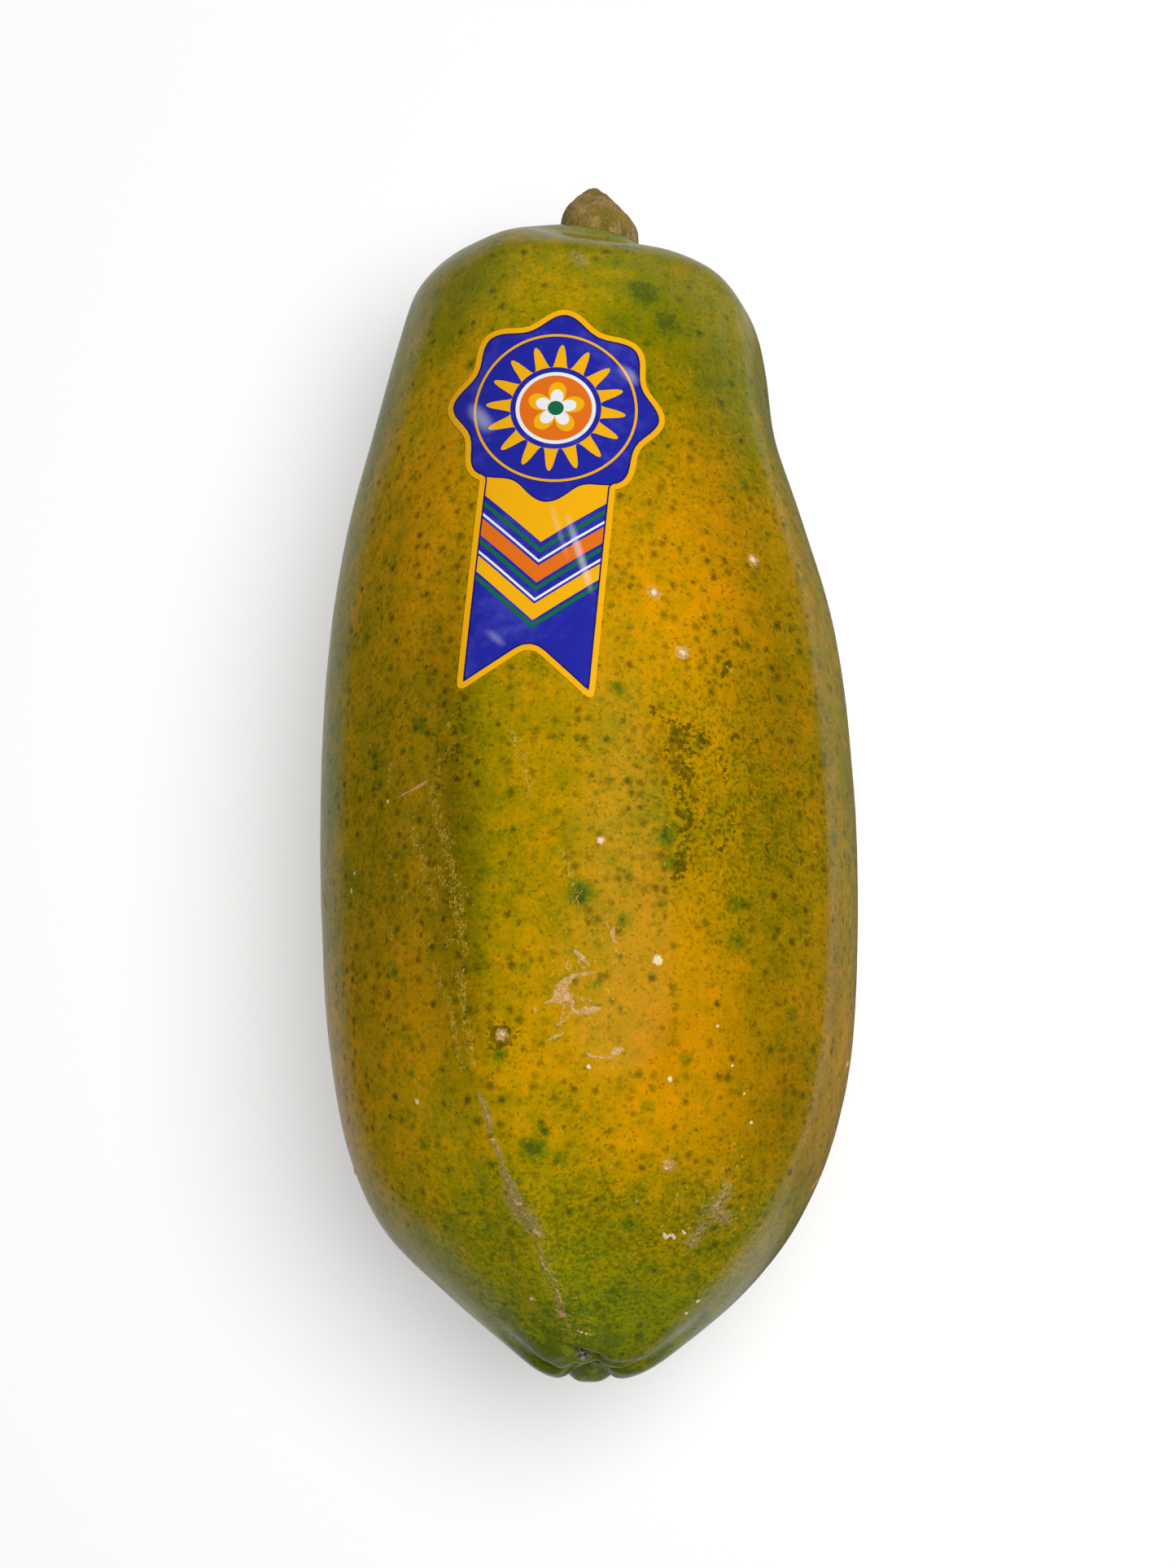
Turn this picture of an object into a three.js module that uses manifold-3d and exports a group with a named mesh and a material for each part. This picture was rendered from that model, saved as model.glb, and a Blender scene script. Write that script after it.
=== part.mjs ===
// A whole long papaya of the large kind, lying on its side, with the woody stub of its stalk and a die-cut
// label on its skin. Millimetres, +Z up, the stem end towards +Y. The origin is on the surface that the fruit
// lies on, under the middle of its outline.
import * as THREE from "three";
import { mergeVertices } from "three/addons/utils/BufferGeometryUtils.js";
import Module from "manifold-3d";

const wasm = await Module();
wasm.setup();
const { degToRad, lerp, smoothstep } = THREE.MathUtils;

// Driving dimensions of the fruit.
const HALF_LENGTH = 149; // from the middle of the fruit to the lobes of the blossom end
const HALF_WIDTH = 66; // at the belly
const HEIGHT_RATIO = 0.955; // height of a cross-section over its width
const REST_TILT = degToRad(3); // the slim stem end lies lower than the belly
const FLAT_DEPTH = 0.9; // how much the skin gives way where the fruit rests
const CLEARANCE = 0.3; // between the fruit and the pieces on it

// The stub of the stalk: its profile is radius over STALK.radius against height over STALK.height, and under
// the mouth of its socket against STALK.root.
const STALK = { radius: 10.2, height: 15, root: 3.7, apexLean: -1.2, leanFrom: 0.3 };
const STALK_PROFILE = [
  [0, -1],
  [0.97, -1],
  [1, -0.6],
  [1, 0.33],
  [0.95, 0.46],
  [0.82, 0.58],
  [0.62, 0.74],
  [0.38, 0.88],
  [0.16, 0.97],
  [0, 1],
];
const STALK_RIDGES = { count: 5, depth: 0.055, turn: degToRad(20) };
const STALK_BREAK = { direction: new THREE.Vector3(0.5, 0.62, -0.6).normalize(), distance: 9.5, size: 40 };

// The label: a rosette with shallow lobes over a tail with a notched end, turned a little to the right.
const LABEL = { width: 52, length: 98.8, thickness: 0.3, lobes: 8, lobeDepth: 3.4 };
const LABEL_TAIL = { width: 32, notch: 12.6, rounding: 1.8 };
const LABEL_PLACE = { x: -8.3, y: 76.4, turn: degToRad(-5.5) };

// The fruit from its blossom scar to the socket of the stalk: place along the axis over HALF_LENGTH, radius
// over HALF_WIDTH, and how far the middle of the section lies to the right of and above the axis.
const STATIONS = [
  { along: -0.987, radius: 0, right: -0.6, up: 3.2 },
  { along: -0.998, radius: 0.06, right: -0.5, up: 3.2 },
  { along: -1.008, radius: 0.13, right: -0.2, up: 3.2 },
  { along: -0.999, radius: 0.2, right: 0.3, up: 3.0 },
  { along: -0.95, radius: 0.342, right: 1.0, up: 2.7 },
  { along: -0.87, radius: 0.549, right: 1.0, up: 2.0 },
  { along: -0.77, radius: 0.762, right: -0.5, up: 1.2 },
  { along: -0.66, radius: 0.881, right: -0.2, up: 0.6 },
  { along: -0.5, radius: 0.961, right: 0.2, up: 0.2 },
  { along: -0.26, radius: 0.996, right: 0.1, up: 0.0 },
  { along: 0.0, radius: 0.99, right: -0.6, up: 0.0 },
  { along: 0.22, radius: 0.945, right: -1.7, up: 0.2 },
  { along: 0.4, radius: 0.856, right: -3.4, up: 0.5 },
  { along: 0.54, radius: 0.767, right: -4.0, up: 0.8 },
  { along: 0.66, radius: 0.72, right: -2.7, up: 1.0 },
  { along: 0.74, radius: 0.672, right: -2.6, up: 1.1 },
  { along: 0.8, radius: 0.594, right: -4.8, up: 1.1 },
  { along: 0.843, radius: 0.466, right: -7.5, up: 1.1 },
  { along: 0.868, radius: 0.338, right: -7.1, up: 1.0 },
  { along: 0.882, radius: 0.262, right: -3.4, up: 0.9 },
  { along: 0.891, radius: 0.216, right: -1.0, up: 0.8 },
  { along: 0.896, radius: 0.186, right: 0.7, up: 0.8 },
  { along: 0.895, radius: (STALK.radius + CLEARANCE) / HALF_WIDTH, right: 2.0, up: 0.8 },
];
const TIP_LEAN = { slope: Math.tan(degToRad(10)), from: 0.5, to: 1 }; // the blossom scar looks up a little
const NECK_LEAN = { slope: Math.tan(degToRad(11)), from: 0.82, to: 0.9 }; // the shoulder falls to the right

// Soft ribs run the length of the fruit, one over each carpel. Angles are in degrees from the top, clockwise
// as the blossom end is seen, at the stem end, the belly and the blossom end. Heights are over the radius.
const RIBS = [
  { stem: -24, belly: -28, tip: -20, height: 0.03, width: 15 },
  { stem: 50, belly: 58, tip: 52, height: 0.045, width: 15 },
  { stem: 124, belly: 130, tip: 114, height: 0.03, width: 17 },
  { stem: 194, belly: 196, tip: 180, height: 0.02, width: 20 },
  { stem: 262, belly: 262, tip: 246, height: 0.025, width: 18 },
];
const BETWEEN_RIBS = -0.012;

// Furrows part the lobes round the blossom scar. They are deepest at one distance from it and run out at
// another. Hollows lie between the ribs' ends on the shoulder.
const FURROWS = [
  { angle: 8, depth: 0.5, width: 16 },
  { angle: 78, depth: 2.2, width: 11 },
  { angle: 150, depth: 2.6, width: 10 },
  { angle: 215, depth: 2.6, width: 10 },
  { angle: 282, depth: 2.4, width: 11 },
];
const FURROW_RUN = { deepest: 8, end: 30 };
const HOLLOWS = { depth: 1.6, radius: 27, reach: 13, ribWidth: 24, from: 0.75, to: 0.9 };

// Fineness of the meshes.
const FRUIT_SIDES = 60;
const RING_STEP = { belly: 6.2, end: 1.9, endsFrom: 0.6, endsTo: 0.98 };
const RING_SAMPLES = 3000;
const STALK_SIDES = 24;
const LABEL_STEP = 3.4;
const POINTS_PER_LOBE = 12;
const CURVE_SEGMENTS = 4;

// Smooth curves through the stations, for the radius and for the middle of the sections.
const curveThrough = (points) => new THREE.CatmullRomCurve3(points, false, "centripetal");
const outline = curveThrough(
  STATIONS.map(({ along, radius }) => new THREE.Vector3(along * HALF_LENGTH, radius * HALF_WIDTH, 0)),
);
const middleLine = curveThrough(
  STATIONS.map(({ along, right, up }) => new THREE.Vector3(along * HALF_LENGTH, right, up)),
);

// One ring of the fruit, at a share of the way from the blossom scar to the stalk.
function ringAt(share) {
  const place = outline.getPoint(share);
  const slope = outline.getTangent(share);
  const middle = middleLine.getPoint(share);
  return {
    along: place.x,
    way: place.x / HALF_LENGTH,
    radius: Math.max(place.y, 0),
    outwards: { along: -slope.y, radius: slope.x },
    right: middle.y,
    up: middle.z,
  };
}

// The angle between two directions in degrees, and a smooth hill over such an angle or over a distance.
const apart = (a, b) => Math.abs(((((a - b) % 360) + 540) % 360) - 180);
const hill = (distance, width) => Math.exp(-((distance / width) ** 2));

// Ribs and hollows run out towards the round mouth of the stalk's socket.
const clearOfStalk = (ring) => smoothstep(ring.radius, STALK.radius + 2 * CLEARANCE, 2 * STALK.radius);

function ribAngle(rib, ring) {
  const end = ring.way > 0 ? rib.stem : rib.tip;
  return lerp(rib.belly, end, smoothstep(Math.abs(ring.way), 0, 0.95));
}

// What the ribs add to the radius, as a share of it. They stand out most at the two ends.
function ribRelief(ring, angle) {
  const strength = 0.85 + 0.5 * smoothstep(ring.way, 0.35, 0.8) + 0.7 * smoothstep(-ring.way, 0.5, 0.9);
  const ribs = RIBS.map((rib) => rib.height * hill(apart(angle, ribAngle(rib, ring)), rib.width));
  return strength * clearOfStalk(ring) * ribs.reduce((sum, rib) => sum + rib, BETWEEN_RIBS);
}

function furrowDepth(ring, angle) {
  const { deepest, end } = FURROW_RUN;
  const run = smoothstep(ring.radius, 0, deepest) * (1 - smoothstep(ring.radius, deepest, end));
  const furrows = FURROWS.map((furrow) => furrow.depth * hill(apart(angle, furrow.angle), furrow.width));
  return run * furrows.reduce((sum, furrow) => sum + furrow, 0);
}

function hollowDepth(ring, angle) {
  const onRibs = RIBS.reduce((sum, rib) => sum + hill(apart(angle, rib.stem), HOLLOWS.ribWidth), 0);
  const round = hill(ring.radius - HOLLOWS.radius, HOLLOWS.reach) * clearOfStalk(ring);
  const onShoulder = smoothstep(ring.way, HOLLOWS.from, HOLLOWS.to);
  return HOLLOWS.depth * (1 - Math.min(onRibs, 1)) * round * onShoulder;
}

// The fruit's own frame, with its axis along Y, turned to how it lies.
const lying = new THREE.Matrix4().makeRotationX(-REST_TILT);

// A point of the skin, at an angle in degrees from the top.
function skinPoint(ring, angle) {
  const depth = ring.way < 0 ? furrowDepth(ring, angle) : hollowDepth(ring, angle);
  const grown = ring.radius * (1 + ribRelief(ring, angle)) - ring.outwards.radius * depth;
  const radius = ring.radius > 0 ? Math.max(grown, 0) : 0;
  const side = radius * Math.sin(degToRad(angle));
  const height = lerp(1, HEIGHT_RATIO, clearOfStalk(ring)) * radius * Math.cos(degToRad(angle));
  const tipLean = TIP_LEAN.slope * smoothstep(-ring.way, TIP_LEAN.from, TIP_LEAN.to) * height;
  const neckLean = NECK_LEAN.slope * smoothstep(ring.way, NECK_LEAN.from, NECK_LEAN.to) * side;
  const along = ring.along - ring.outwards.along * depth + tipLean - neckLean;
  return new THREE.Vector3(ring.right + side, along, ring.up + height).applyMatrix4(lying);
}

// The socket that holds the stalk's root is a plain round hole.
function socketPoint(ring, angle) {
  const right = ring.right + ring.radius * Math.sin(degToRad(angle));
  const up = ring.up + ring.radius * Math.cos(degToRad(angle));
  return new THREE.Vector3(right, ring.along, up).applyMatrix4(lying);
}

// The skin's rings, wide apart on the belly and close together at the ends.
function skinRings() {
  const rings = [ringAt(0)];
  for (let i = 1; i <= RING_SAMPLES; i += 1) {
    const ring = ringAt(i / RING_SAMPLES);
    const last = rings[rings.length - 1];
    const nearEnd = smoothstep(Math.abs(ring.way), RING_STEP.endsFrom, RING_STEP.endsTo);
    const step = lerp(RING_STEP.belly, RING_STEP.end, nearEnd);
    const travelled = Math.hypot(ring.along - last.along, ring.radius - last.radius);
    if (travelled >= step || i === RING_SAMPLES) rings.push(ring);
  }
  return rings;
}

// A lathed form whose rings are then given their ribs, furrows and bend, flat where it meets the surface.
function fruitGeometry(surface = -Infinity) {
  const skin = skinRings();
  const mouth = skin[skin.length - 1];
  const floor = mouth.along - STALK.root - CLEARANCE;
  const socket = [1, 0.5, 0].map((share) => ({ ...mouth, along: floor, radius: mouth.radius * share }));
  const rings = [...skin, ...socket];
  const profile = rings.map(({ along, radius }) => new THREE.Vector2(radius, along));
  const geometry = new THREE.LatheGeometry(profile, FRUIT_SIDES);
  const position = geometry.getAttribute("position");
  for (let i = 0; i < position.count; i += 1) {
    const place = i % rings.length;
    const side = Math.floor(i / rings.length) % FRUIT_SIDES;
    const toPoint = place < skin.length ? skinPoint : socketPoint;
    const spot = toPoint(rings[place], (360 / FRUIT_SIDES) * side);
    position.setXYZ(i, spot.x, spot.y, Math.max(spot.z, surface));
  }
  return geometry;
}

function restingSurface() {
  const whole = fruitGeometry();
  whole.computeBoundingBox();
  return whole.boundingBox.min.z + FLAT_DEPTH;
}

// A five-sided woody knob with its root in the socket.
function stalkGeometry() {
  const profile = STALK_PROFILE.map(([share, level]) => new THREE.Vector2(share * STALK.radius, level));
  const geometry = new THREE.LatheGeometry(profile, STALK_SIDES);
  const position = geometry.getAttribute("position");
  const mouth = ringAt(1);
  for (let i = 0; i < position.count; i += 1) {
    const level = position.getY(i);
    const turn = Math.atan2(position.getX(i), position.getZ(i)) - STALK_RIDGES.turn;
    const swell = 1 - (STALK_RIDGES.depth * (1 - Math.cos(STALK_RIDGES.count * turn))) / 2;
    const spot = new THREE.Vector3(
      mouth.right + position.getX(i) * swell + STALK.apexLean * smoothstep(level, STALK.leanFrom, 1),
      mouth.along + level * (level < 0 ? STALK.root : STALK.height),
      mouth.up + position.getZ(i) * swell,
    ).applyMatrix4(lying);
    position.setXYZ(i, spot.x, spot.y, spot.z);
  }
  return geometry;
}

// A block whose near face is the slanting break on the far side of the stub.
function breakGeometry() {
  const { direction, distance, size } = STALK_BREAK;
  const mouth = ringAt(1);
  const middle = new THREE.Vector3(mouth.right, mouth.along, mouth.up).applyMatrix4(lying);
  const turn = new THREE.Quaternion().setFromUnitVectors(new THREE.Vector3(0, 0, 1), direction);
  const block = new THREE.BoxGeometry(size, size, size).translate(0, 0, size / 2);
  return block.applyQuaternion(turn).translate(...middle.addScaledVector(direction, distance));
}

// The place of the skin straight under x, y, moved outwards by a height. Newton's method finds it.
function skinUnder(x, y, height) {
  const step = 1e-3;
  const rounds = 12;
  let share = 0.6;
  let angle = 0;
  let normal;
  let here;
  for (let i = 0; i < rounds; i += 1) {
    here = skinPoint(ringAt(share), angle);
    const along = skinPoint(ringAt(share + step), angle).sub(here).divideScalar(step);
    const round = skinPoint(ringAt(share), angle + step).sub(here).divideScalar(step);
    normal = round.clone().cross(along);
    share += ((here.x - x) * round.y - (here.y - y) * round.x) / normal.z;
    angle += (along.x * (here.y - y) - along.y * (here.x - x)) / normal.z;
  }
  return here.addScaledVector(normal.normalize(), height);
}

// A film of even thickness that follows the skin under the whole of the label.
function filmGeometry() {
  const { width, length, thickness } = LABEL;
  const sides = [width, length].map((side) => side + LABEL_STEP);
  const steps = sides.map((side) => Math.round(side / LABEL_STEP));
  const film = new THREE.BoxGeometry(...sides, thickness, ...steps);
  film.translate(0, (width - length) / 2, CLEARANCE + thickness / 2);
  const position = film.getAttribute("position");
  for (let i = 0; i < position.count; i += 1) {
    const flat = new THREE.Vector2(position.getX(i), position.getY(i));
    const { x, y } = flat.rotateAround(new THREE.Vector2(), LABEL_PLACE.turn);
    const spot = skinUnder(x + LABEL_PLACE.x, y + LABEL_PLACE.y, position.getZ(i));
    position.setXYZ(i, spot.x, spot.y, spot.z);
  }
  return film;
}

// The rosette, round the origin.
function rosetteShape() {
  const points = [];
  for (let i = 0; i < LABEL.lobes * POINTS_PER_LOBE; i += 1) {
    const angle = (i * 2 * Math.PI) / (LABEL.lobes * POINTS_PER_LOBE);
    const radius = LABEL.width / 2 - (LABEL.lobeDepth * (1 - Math.cos(LABEL.lobes * angle))) / 2;
    points.push(new THREE.Vector2(radius * Math.cos(angle), radius * Math.sin(angle)));
  }
  return new THREE.Shape(points);
}

// A closed outline through corners, each rounded by a curve from one of its sides to the other.
function roundedShape(corners, rounding) {
  const shape = new THREE.Shape();
  corners.forEach((corner, i) => {
    const last = corners[(i + corners.length - 1) % corners.length];
    const next = corners[(i + 1) % corners.length];
    const [from, to] = [last, next].map((end) => corner.clone().lerp(end, rounding / corner.distanceTo(end)));
    if (i === 0) shape.moveTo(from.x, from.y);
    else shape.lineTo(from.x, from.y);
    shape.quadraticCurveTo(corner.x, corner.y, to.x, to.y);
  });
  return shape;
}

function tailShape() {
  const end = LABEL.width / 2 - LABEL.length;
  const half = LABEL_TAIL.width / 2;
  const corners = [
    [-half, 0],
    [-half, end],
    [0, end + LABEL_TAIL.notch],
    [half, end],
    [half, 0],
  ];
  const points = corners.map((corner) => new THREE.Vector2(...corner));
  return roundedShape(points, LABEL_TAIL.rounding);
}

// An upright prism at the label's place, tall enough to cut the film right through.
function prismGeometry(shape) {
  const depth = 4 * HALF_WIDTH;
  const options = { depth, bevelEnabled: false, curveSegments: CURVE_SEGMENTS };
  const prism = new THREE.ExtrudeGeometry(shape, options);
  return prism.rotateZ(LABEL_PLACE.turn).translate(LABEL_PLACE.x, LABEL_PLACE.y, -depth / 2);
}

// Meshes to exact solids and back.
function toSolid(geometry) {
  const bare = geometry.clone();
  bare.deleteAttribute("normal");
  bare.deleteAttribute("uv");
  const merged = mergeVertices(bare);
  const vertProperties = new Float32Array(merged.getAttribute("position").array);
  const triVerts = new Uint32Array(merged.index.array);
  return new wasm.Manifold(new wasm.Mesh({ numProp: 3, vertProperties, triVerts }));
}

function toGeometry(solid) {
  const { vertProperties, triVerts } = solid.getMesh();
  const geometry = new THREE.BufferGeometry();
  geometry.setAttribute("position", new THREE.BufferAttribute(vertProperties, 3));
  geometry.setIndex(new THREE.BufferAttribute(triVerts, 1));
  geometry.computeVertexNormals();
  return geometry;
}

function stalkStub() {
  return toGeometry(toSolid(stalkGeometry()).subtract(toSolid(breakGeometry())));
}

function label() {
  const cutter = toSolid(prismGeometry(rosetteShape())).add(toSolid(prismGeometry(tailShape())));
  return toGeometry(toSolid(filmGeometry()).intersect(cutter));
}

function piece(name, geometry, color, roughness) {
  const mesh = new THREE.Mesh(geometry, new THREE.MeshStandardMaterial({ color, roughness, metalness: 0 }));
  mesh.name = name;
  return mesh;
}

const papaya = new THREE.Group();
papaya.add(piece("fruit", fruitGeometry(restingSurface()), 0xa8860c, 0.45));
papaya.add(piece("stem_stub", stalkStub(), 0x7a6338, 0.9));
papaya.add(piece("label", label(), 0x2a2f9c, 0.3));

// The origin goes under the middle, on the surface.
const box = new THREE.Box3().setFromObject(papaya);
const middle = box.getCenter(new THREE.Vector3());
papaya.position.set(-middle.x, -middle.y, -box.min.z);

export default papaya;
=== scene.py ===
"""A whole long papaya with the stub of its stalk and a film label, on a pale studio floor.

The finish classes hold colours and sizes, the piece classes hold shapes. Lengths in their fields are in
millimetres, angles in degrees, and the sizes in FloorFinish are in metres. A place on the skin is given
along the fruit's own axis, from its middle towards the stalk, and round it, from the top and clockwise as the
blossom end is seen. The scales of patterns are in cells to a metre.
"""

import logging
import math
import random
from collections.abc import Callable, Iterable, Sequence
from dataclasses import dataclass
from enum import Enum, StrEnum

import bpy
import numpy as np
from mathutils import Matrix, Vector
from mathutils.bvhtree import BVHTree


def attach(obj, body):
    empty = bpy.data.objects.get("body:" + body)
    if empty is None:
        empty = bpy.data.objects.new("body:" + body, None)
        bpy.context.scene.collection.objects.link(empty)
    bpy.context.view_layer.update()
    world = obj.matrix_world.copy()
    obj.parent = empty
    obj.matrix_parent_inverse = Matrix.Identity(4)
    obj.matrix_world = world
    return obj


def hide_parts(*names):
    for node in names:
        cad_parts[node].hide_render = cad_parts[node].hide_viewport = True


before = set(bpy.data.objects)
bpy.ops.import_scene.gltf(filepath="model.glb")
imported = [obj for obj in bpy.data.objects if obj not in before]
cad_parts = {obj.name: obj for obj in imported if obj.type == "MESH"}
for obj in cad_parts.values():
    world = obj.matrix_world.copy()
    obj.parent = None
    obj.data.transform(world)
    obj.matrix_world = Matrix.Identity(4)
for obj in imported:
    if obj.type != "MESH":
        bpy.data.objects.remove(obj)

MM = 0.001
BODY = "root"
LEAST_WEIGHT = 0.004
FAR = 200.0
Colour = tuple[float, float, float, float]
Socket = bpy.types.NodeSocket
Input = Socket | float | Colour | tuple[float, float, float]
Given = dict[str, Socket]
# A noise's cells to a metre, detail and roughness.
Noise = tuple[float, float, float]
# Where a smooth step starts and ends, and the values it leads from and to, if not 0 and 1.
Span = tuple[float, ...]

log = logging.getLogger("papaya")


class Layer(StrEnum):
    """The masks that are painted on the skin, by the name of their attribute."""

    RIPENESS = "ripeness"
    GREEN = "green_spots"
    BROWN = "brown_stain"
    CORK = "cork"
    PALE = "pale_flecks"
    NET = "russet_net"
    SPECKS = "speck_density"
    FLECKS = "fleck_density"
    # Dusty bloom, and along the rims a painted greyish sheen that stands in for the floor's reflection.
    BLOOM = "bloom_and_sheen"
    SILVER = "silver"
    # Painted shade and light: darkens the skin's colour where above 0 and lightens it where below. It stands
    # in for how the lamp falls on the flanks, ridges, rims and ends, in a few places also for a duller tone
    # of the skin.
    PAINTED_LIGHT = "shade"
    SCAR = "blossom_scar"


def tone(red: int, green: int, blue: int) -> Colour:
    """Turns a colour as a screen shows it, from 0 to 255, into a linear one with full alpha.

    Args:
        red: Red, from 0 to 255.
        green: Green.
        blue: Blue.

    Returns:
        The colour.
    """
    parts = [value / 255 for value in (red, green, blue)]
    linear = [part / 12.92 if part <= 0.04045 else ((part + 0.055) / 1.055) ** 2.4 for part in parts]
    return (*linear, 1.0)


# ---- nodes ----


class Graph:
    """A node tree, with short ways to add nodes and join them."""

    def __init__(self, tree: bpy.types.NodeTree) -> None:
        """Keeps the tree that the nodes go into."""
        self.tree = tree

    def add(self, kind: str, **settings: object) -> bpy.types.Node:
        """Adds a shader node, by its type without ShaderNode in front, and sets its properties."""
        node = self.tree.nodes.new(f"ShaderNode{kind}")
        for name, value in settings.items():
            setattr(node, name, value)
        return node

    def feed(self, socket: Socket, value: Input) -> None:
        """Links a value to an input, or sets it there if it is a constant."""
        if isinstance(value, Socket):
            self.tree.links.new(value, socket)
        else:
            socket.default_value = value

    def wire(self, kind: str, given: dict[str | int, Input], output: str | int = 0,
             **settings: object) -> Socket:
        """Adds a node and feeds it.

        Args:
            kind: The node's type, without its ShaderNode start.
            given: What goes into its inputs, by their name or number.
            output: The output that is wanted.
            settings: Properties of the node by name.

        Returns:
            That output.
        """
        node = self.add(kind, **settings)
        for name, value in given.items():
            self.feed(node.inputs[name], value)
        return node.outputs[output]

    def math(self, operation: str, *values: Input, clamp: bool = False) -> Socket:
        """Adds a Math node with its inputs in order, and keeps the result between 0 and 1 if asked."""
        return self.wire("Math", dict(enumerate(values)), operation=operation, use_clamp=clamp)

    def chain(self, operation: str, *values: Input) -> Socket:
        """Joins values from left to right with one operation."""
        total = values[0]
        for value in values[1:]:
            total = self.math(operation, total, value)
        return total

    def plus(self, *values: Input) -> Socket:
        """Adds values up."""
        return self.chain("ADD", *values)

    def minus(self, first: Input, second: Input) -> Socket:
        """Takes the second value from the first."""
        return self.math("SUBTRACT", first, second)

    def times(self, *values: Input) -> Socket:
        """Multiplies values."""
        return self.chain("MULTIPLY", *values)

    def most(self, *values: Input) -> Socket:
        """Takes the highest of some values."""
        return self.chain("MAXIMUM", *values)

    def size(self, value: Input) -> Socket:
        """Drops a value's sign."""
        return self.math("ABSOLUTE", value)

    def spread(self, value: Input, low: Input, high: Input, to_low: Input = 0.0,
               to_high: Input = 1.0) -> Socket:
        """Maps the range from low to high smoothly onto another, and stays inside that one."""
        ends = dict(enumerate((value, low, high, to_low, to_high)))
        return self.wire("MapRange", ends, interpolation_type="SMOOTHSTEP")

    def mix(self, share: Input, first: Input, second: Input, way: str = "MIX") -> Socket:
        """Mixes a share of a second colour into the first."""
        return self.wire("Mix", {0: share, 6: first, 7: second}, 2, data_type="RGBA", blend_type=way)

    def ramp(self, value: Input, stops: Sequence[tuple[float, Colour]]) -> Socket:
        """Gives a colour for a value from 0 to 1, from stops at rising places.

        Args:
            value: The value.
            stops: Places and colours, rising.

        Returns:
            The colour.
        """
        node = self.add("ValToRGB")
        band = node.color_ramp.elements
        while len(band) < len(stops):
            band.new(0.5)
        for element, (place, colour) in zip(band, stops):
            element.position = place
            element.color = colour
        self.feed(node.inputs[0], value)
        return node.outputs[0]

    def noise(self, vector: Socket, scale: Input, detail: float = 2.0, roughness: float = 0.5) -> Socket:
        """Adds a Noise texture and returns its value, from 0 to 1 round 0.5."""
        given = {"Vector": vector, "Scale": scale, "Detail": detail, "Roughness": roughness}
        return self.wire("TexNoise", given, "Fac")

    def attribute(self, name: str) -> Socket:
        """Reads a float attribute of the mesh."""
        return self.wire("Attribute", {}, "Fac", attribute_name=name)

    def stretched(self, vector: Socket, scale: tuple[float, float, float]) -> Socket:
        """Scales a pattern's coordinates by a number for each axis."""
        return self.wire("Mapping", {"Vector": vector, "Scale": scale}, "Vector")

    def moved(self, vector: Socket, shift: Input) -> Socket:
        """Moves a pattern's coordinates."""
        return self.wire("VectorMath", {0: vector, 1: shift}, operation="ADD")

    def sides(self, vector: Socket) -> tuple[Socket, ...]:
        """Splits coordinates into their three numbers."""
        return tuple(self.feed_all("SeparateXYZ", vector).outputs)

    def feed_all(self, kind: str, value: Input) -> bpy.types.Node:
        """Adds a node whose first input is fed, for all of its outputs."""
        node = self.add(kind)
        self.feed(node.inputs[0], value)
        return node

    def bump(self, height: Input, depth: float, under: Socket | None = None) -> Socket:
        """Turns heights from 0 to 1 into a normal, 1 being depth in millimetres, on top of another."""
        given = {"Distance": depth * MM, "Height": height}
        return self.wire("Bump", given if under is None else {**given, "Normal": under}, "Normal")


class Effect:
    """A shader node group with named inputs and outputs, made once and placed in each material."""

    def __init__(self, name: str, inputs: dict[str, float | None], output: str,
                 fill: Callable[[Graph, Given], Socket]) -> None:
        """Makes the group.

        Args:
            name: The group's name.
            inputs: Its inputs and their defaults, None for a vector.
            output: The name of its result, a value.
            fill: Builds the nodes from the inputs and returns the result.
        """
        tree = bpy.data.node_groups.new(name, "ShaderNodeTree")
        for label, value in inputs.items():
            kind = "NodeSocketVector" if value is None else "NodeSocketFloat"
            socket = tree.interface.new_socket(name=label, in_out="INPUT", socket_type=kind)
            if value is not None:
                socket.default_value = value
        tree.interface.new_socket(name=output, in_out="OUTPUT", socket_type="NodeSocketFloat")
        source, sink = tree.nodes.new("NodeGroupInput"), tree.nodes.new("NodeGroupOutput")
        given = {label: source.outputs[label] for label in inputs}
        tree.links.new(fill(Graph(tree), given), sink.inputs[output])
        self.tree = tree

    def place(self, graph: Graph, **values: Input) -> Socket:
        """Puts the group in a material, with its inputs by name, and returns its result."""
        return graph.wire("Group", values, node_tree=self.tree)


def wobbled(graph: Graph, given: Given, finer: float, far: float, detail: float = 2.0) -> Socket:
    """Builds a pattern's coordinates pushed about, so that its cells come out crooked.

    Args:
        graph: The group's nodes.
        given: The group's inputs, with Vector and Scale.
        finer: How much finer the pushing is than the cells.
        far: How far it pushes, in cells.
        detail: The noise's detail.

    Returns:
        The coordinates.
    """
    noise = {"Vector": given["Vector"], "Scale": graph.times(given["Scale"], finer), "Detail": detail}
    way = {0: graph.wire("TexNoise", noise, "Color"), "Scale": graph.math("DIVIDE", far, given["Scale"])}
    return graph.moved(given["Vector"], graph.wire("VectorMath", way, operation="SCALE"))


def fill_cloud(graph: Graph, given: Given) -> Socket:
    """Builds uneven cloudiness round 0 from a broad and a fine noise.

    Args:
        graph: The group's nodes.
        given: The group's inputs by name.

    Returns:
        The cloudiness.
    """
    broad = graph.noise(given["Vector"], given["Scale"], detail=3.0, roughness=0.55)
    fine = graph.noise(given["Vector"], graph.times(given["Scale"], 4.3), detail=4.0, roughness=0.62)
    both = graph.plus(graph.times(broad, 0.6), graph.times(fine, 0.4))
    return graph.times(graph.minus(both, 0.5), given["Amount"])


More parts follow.
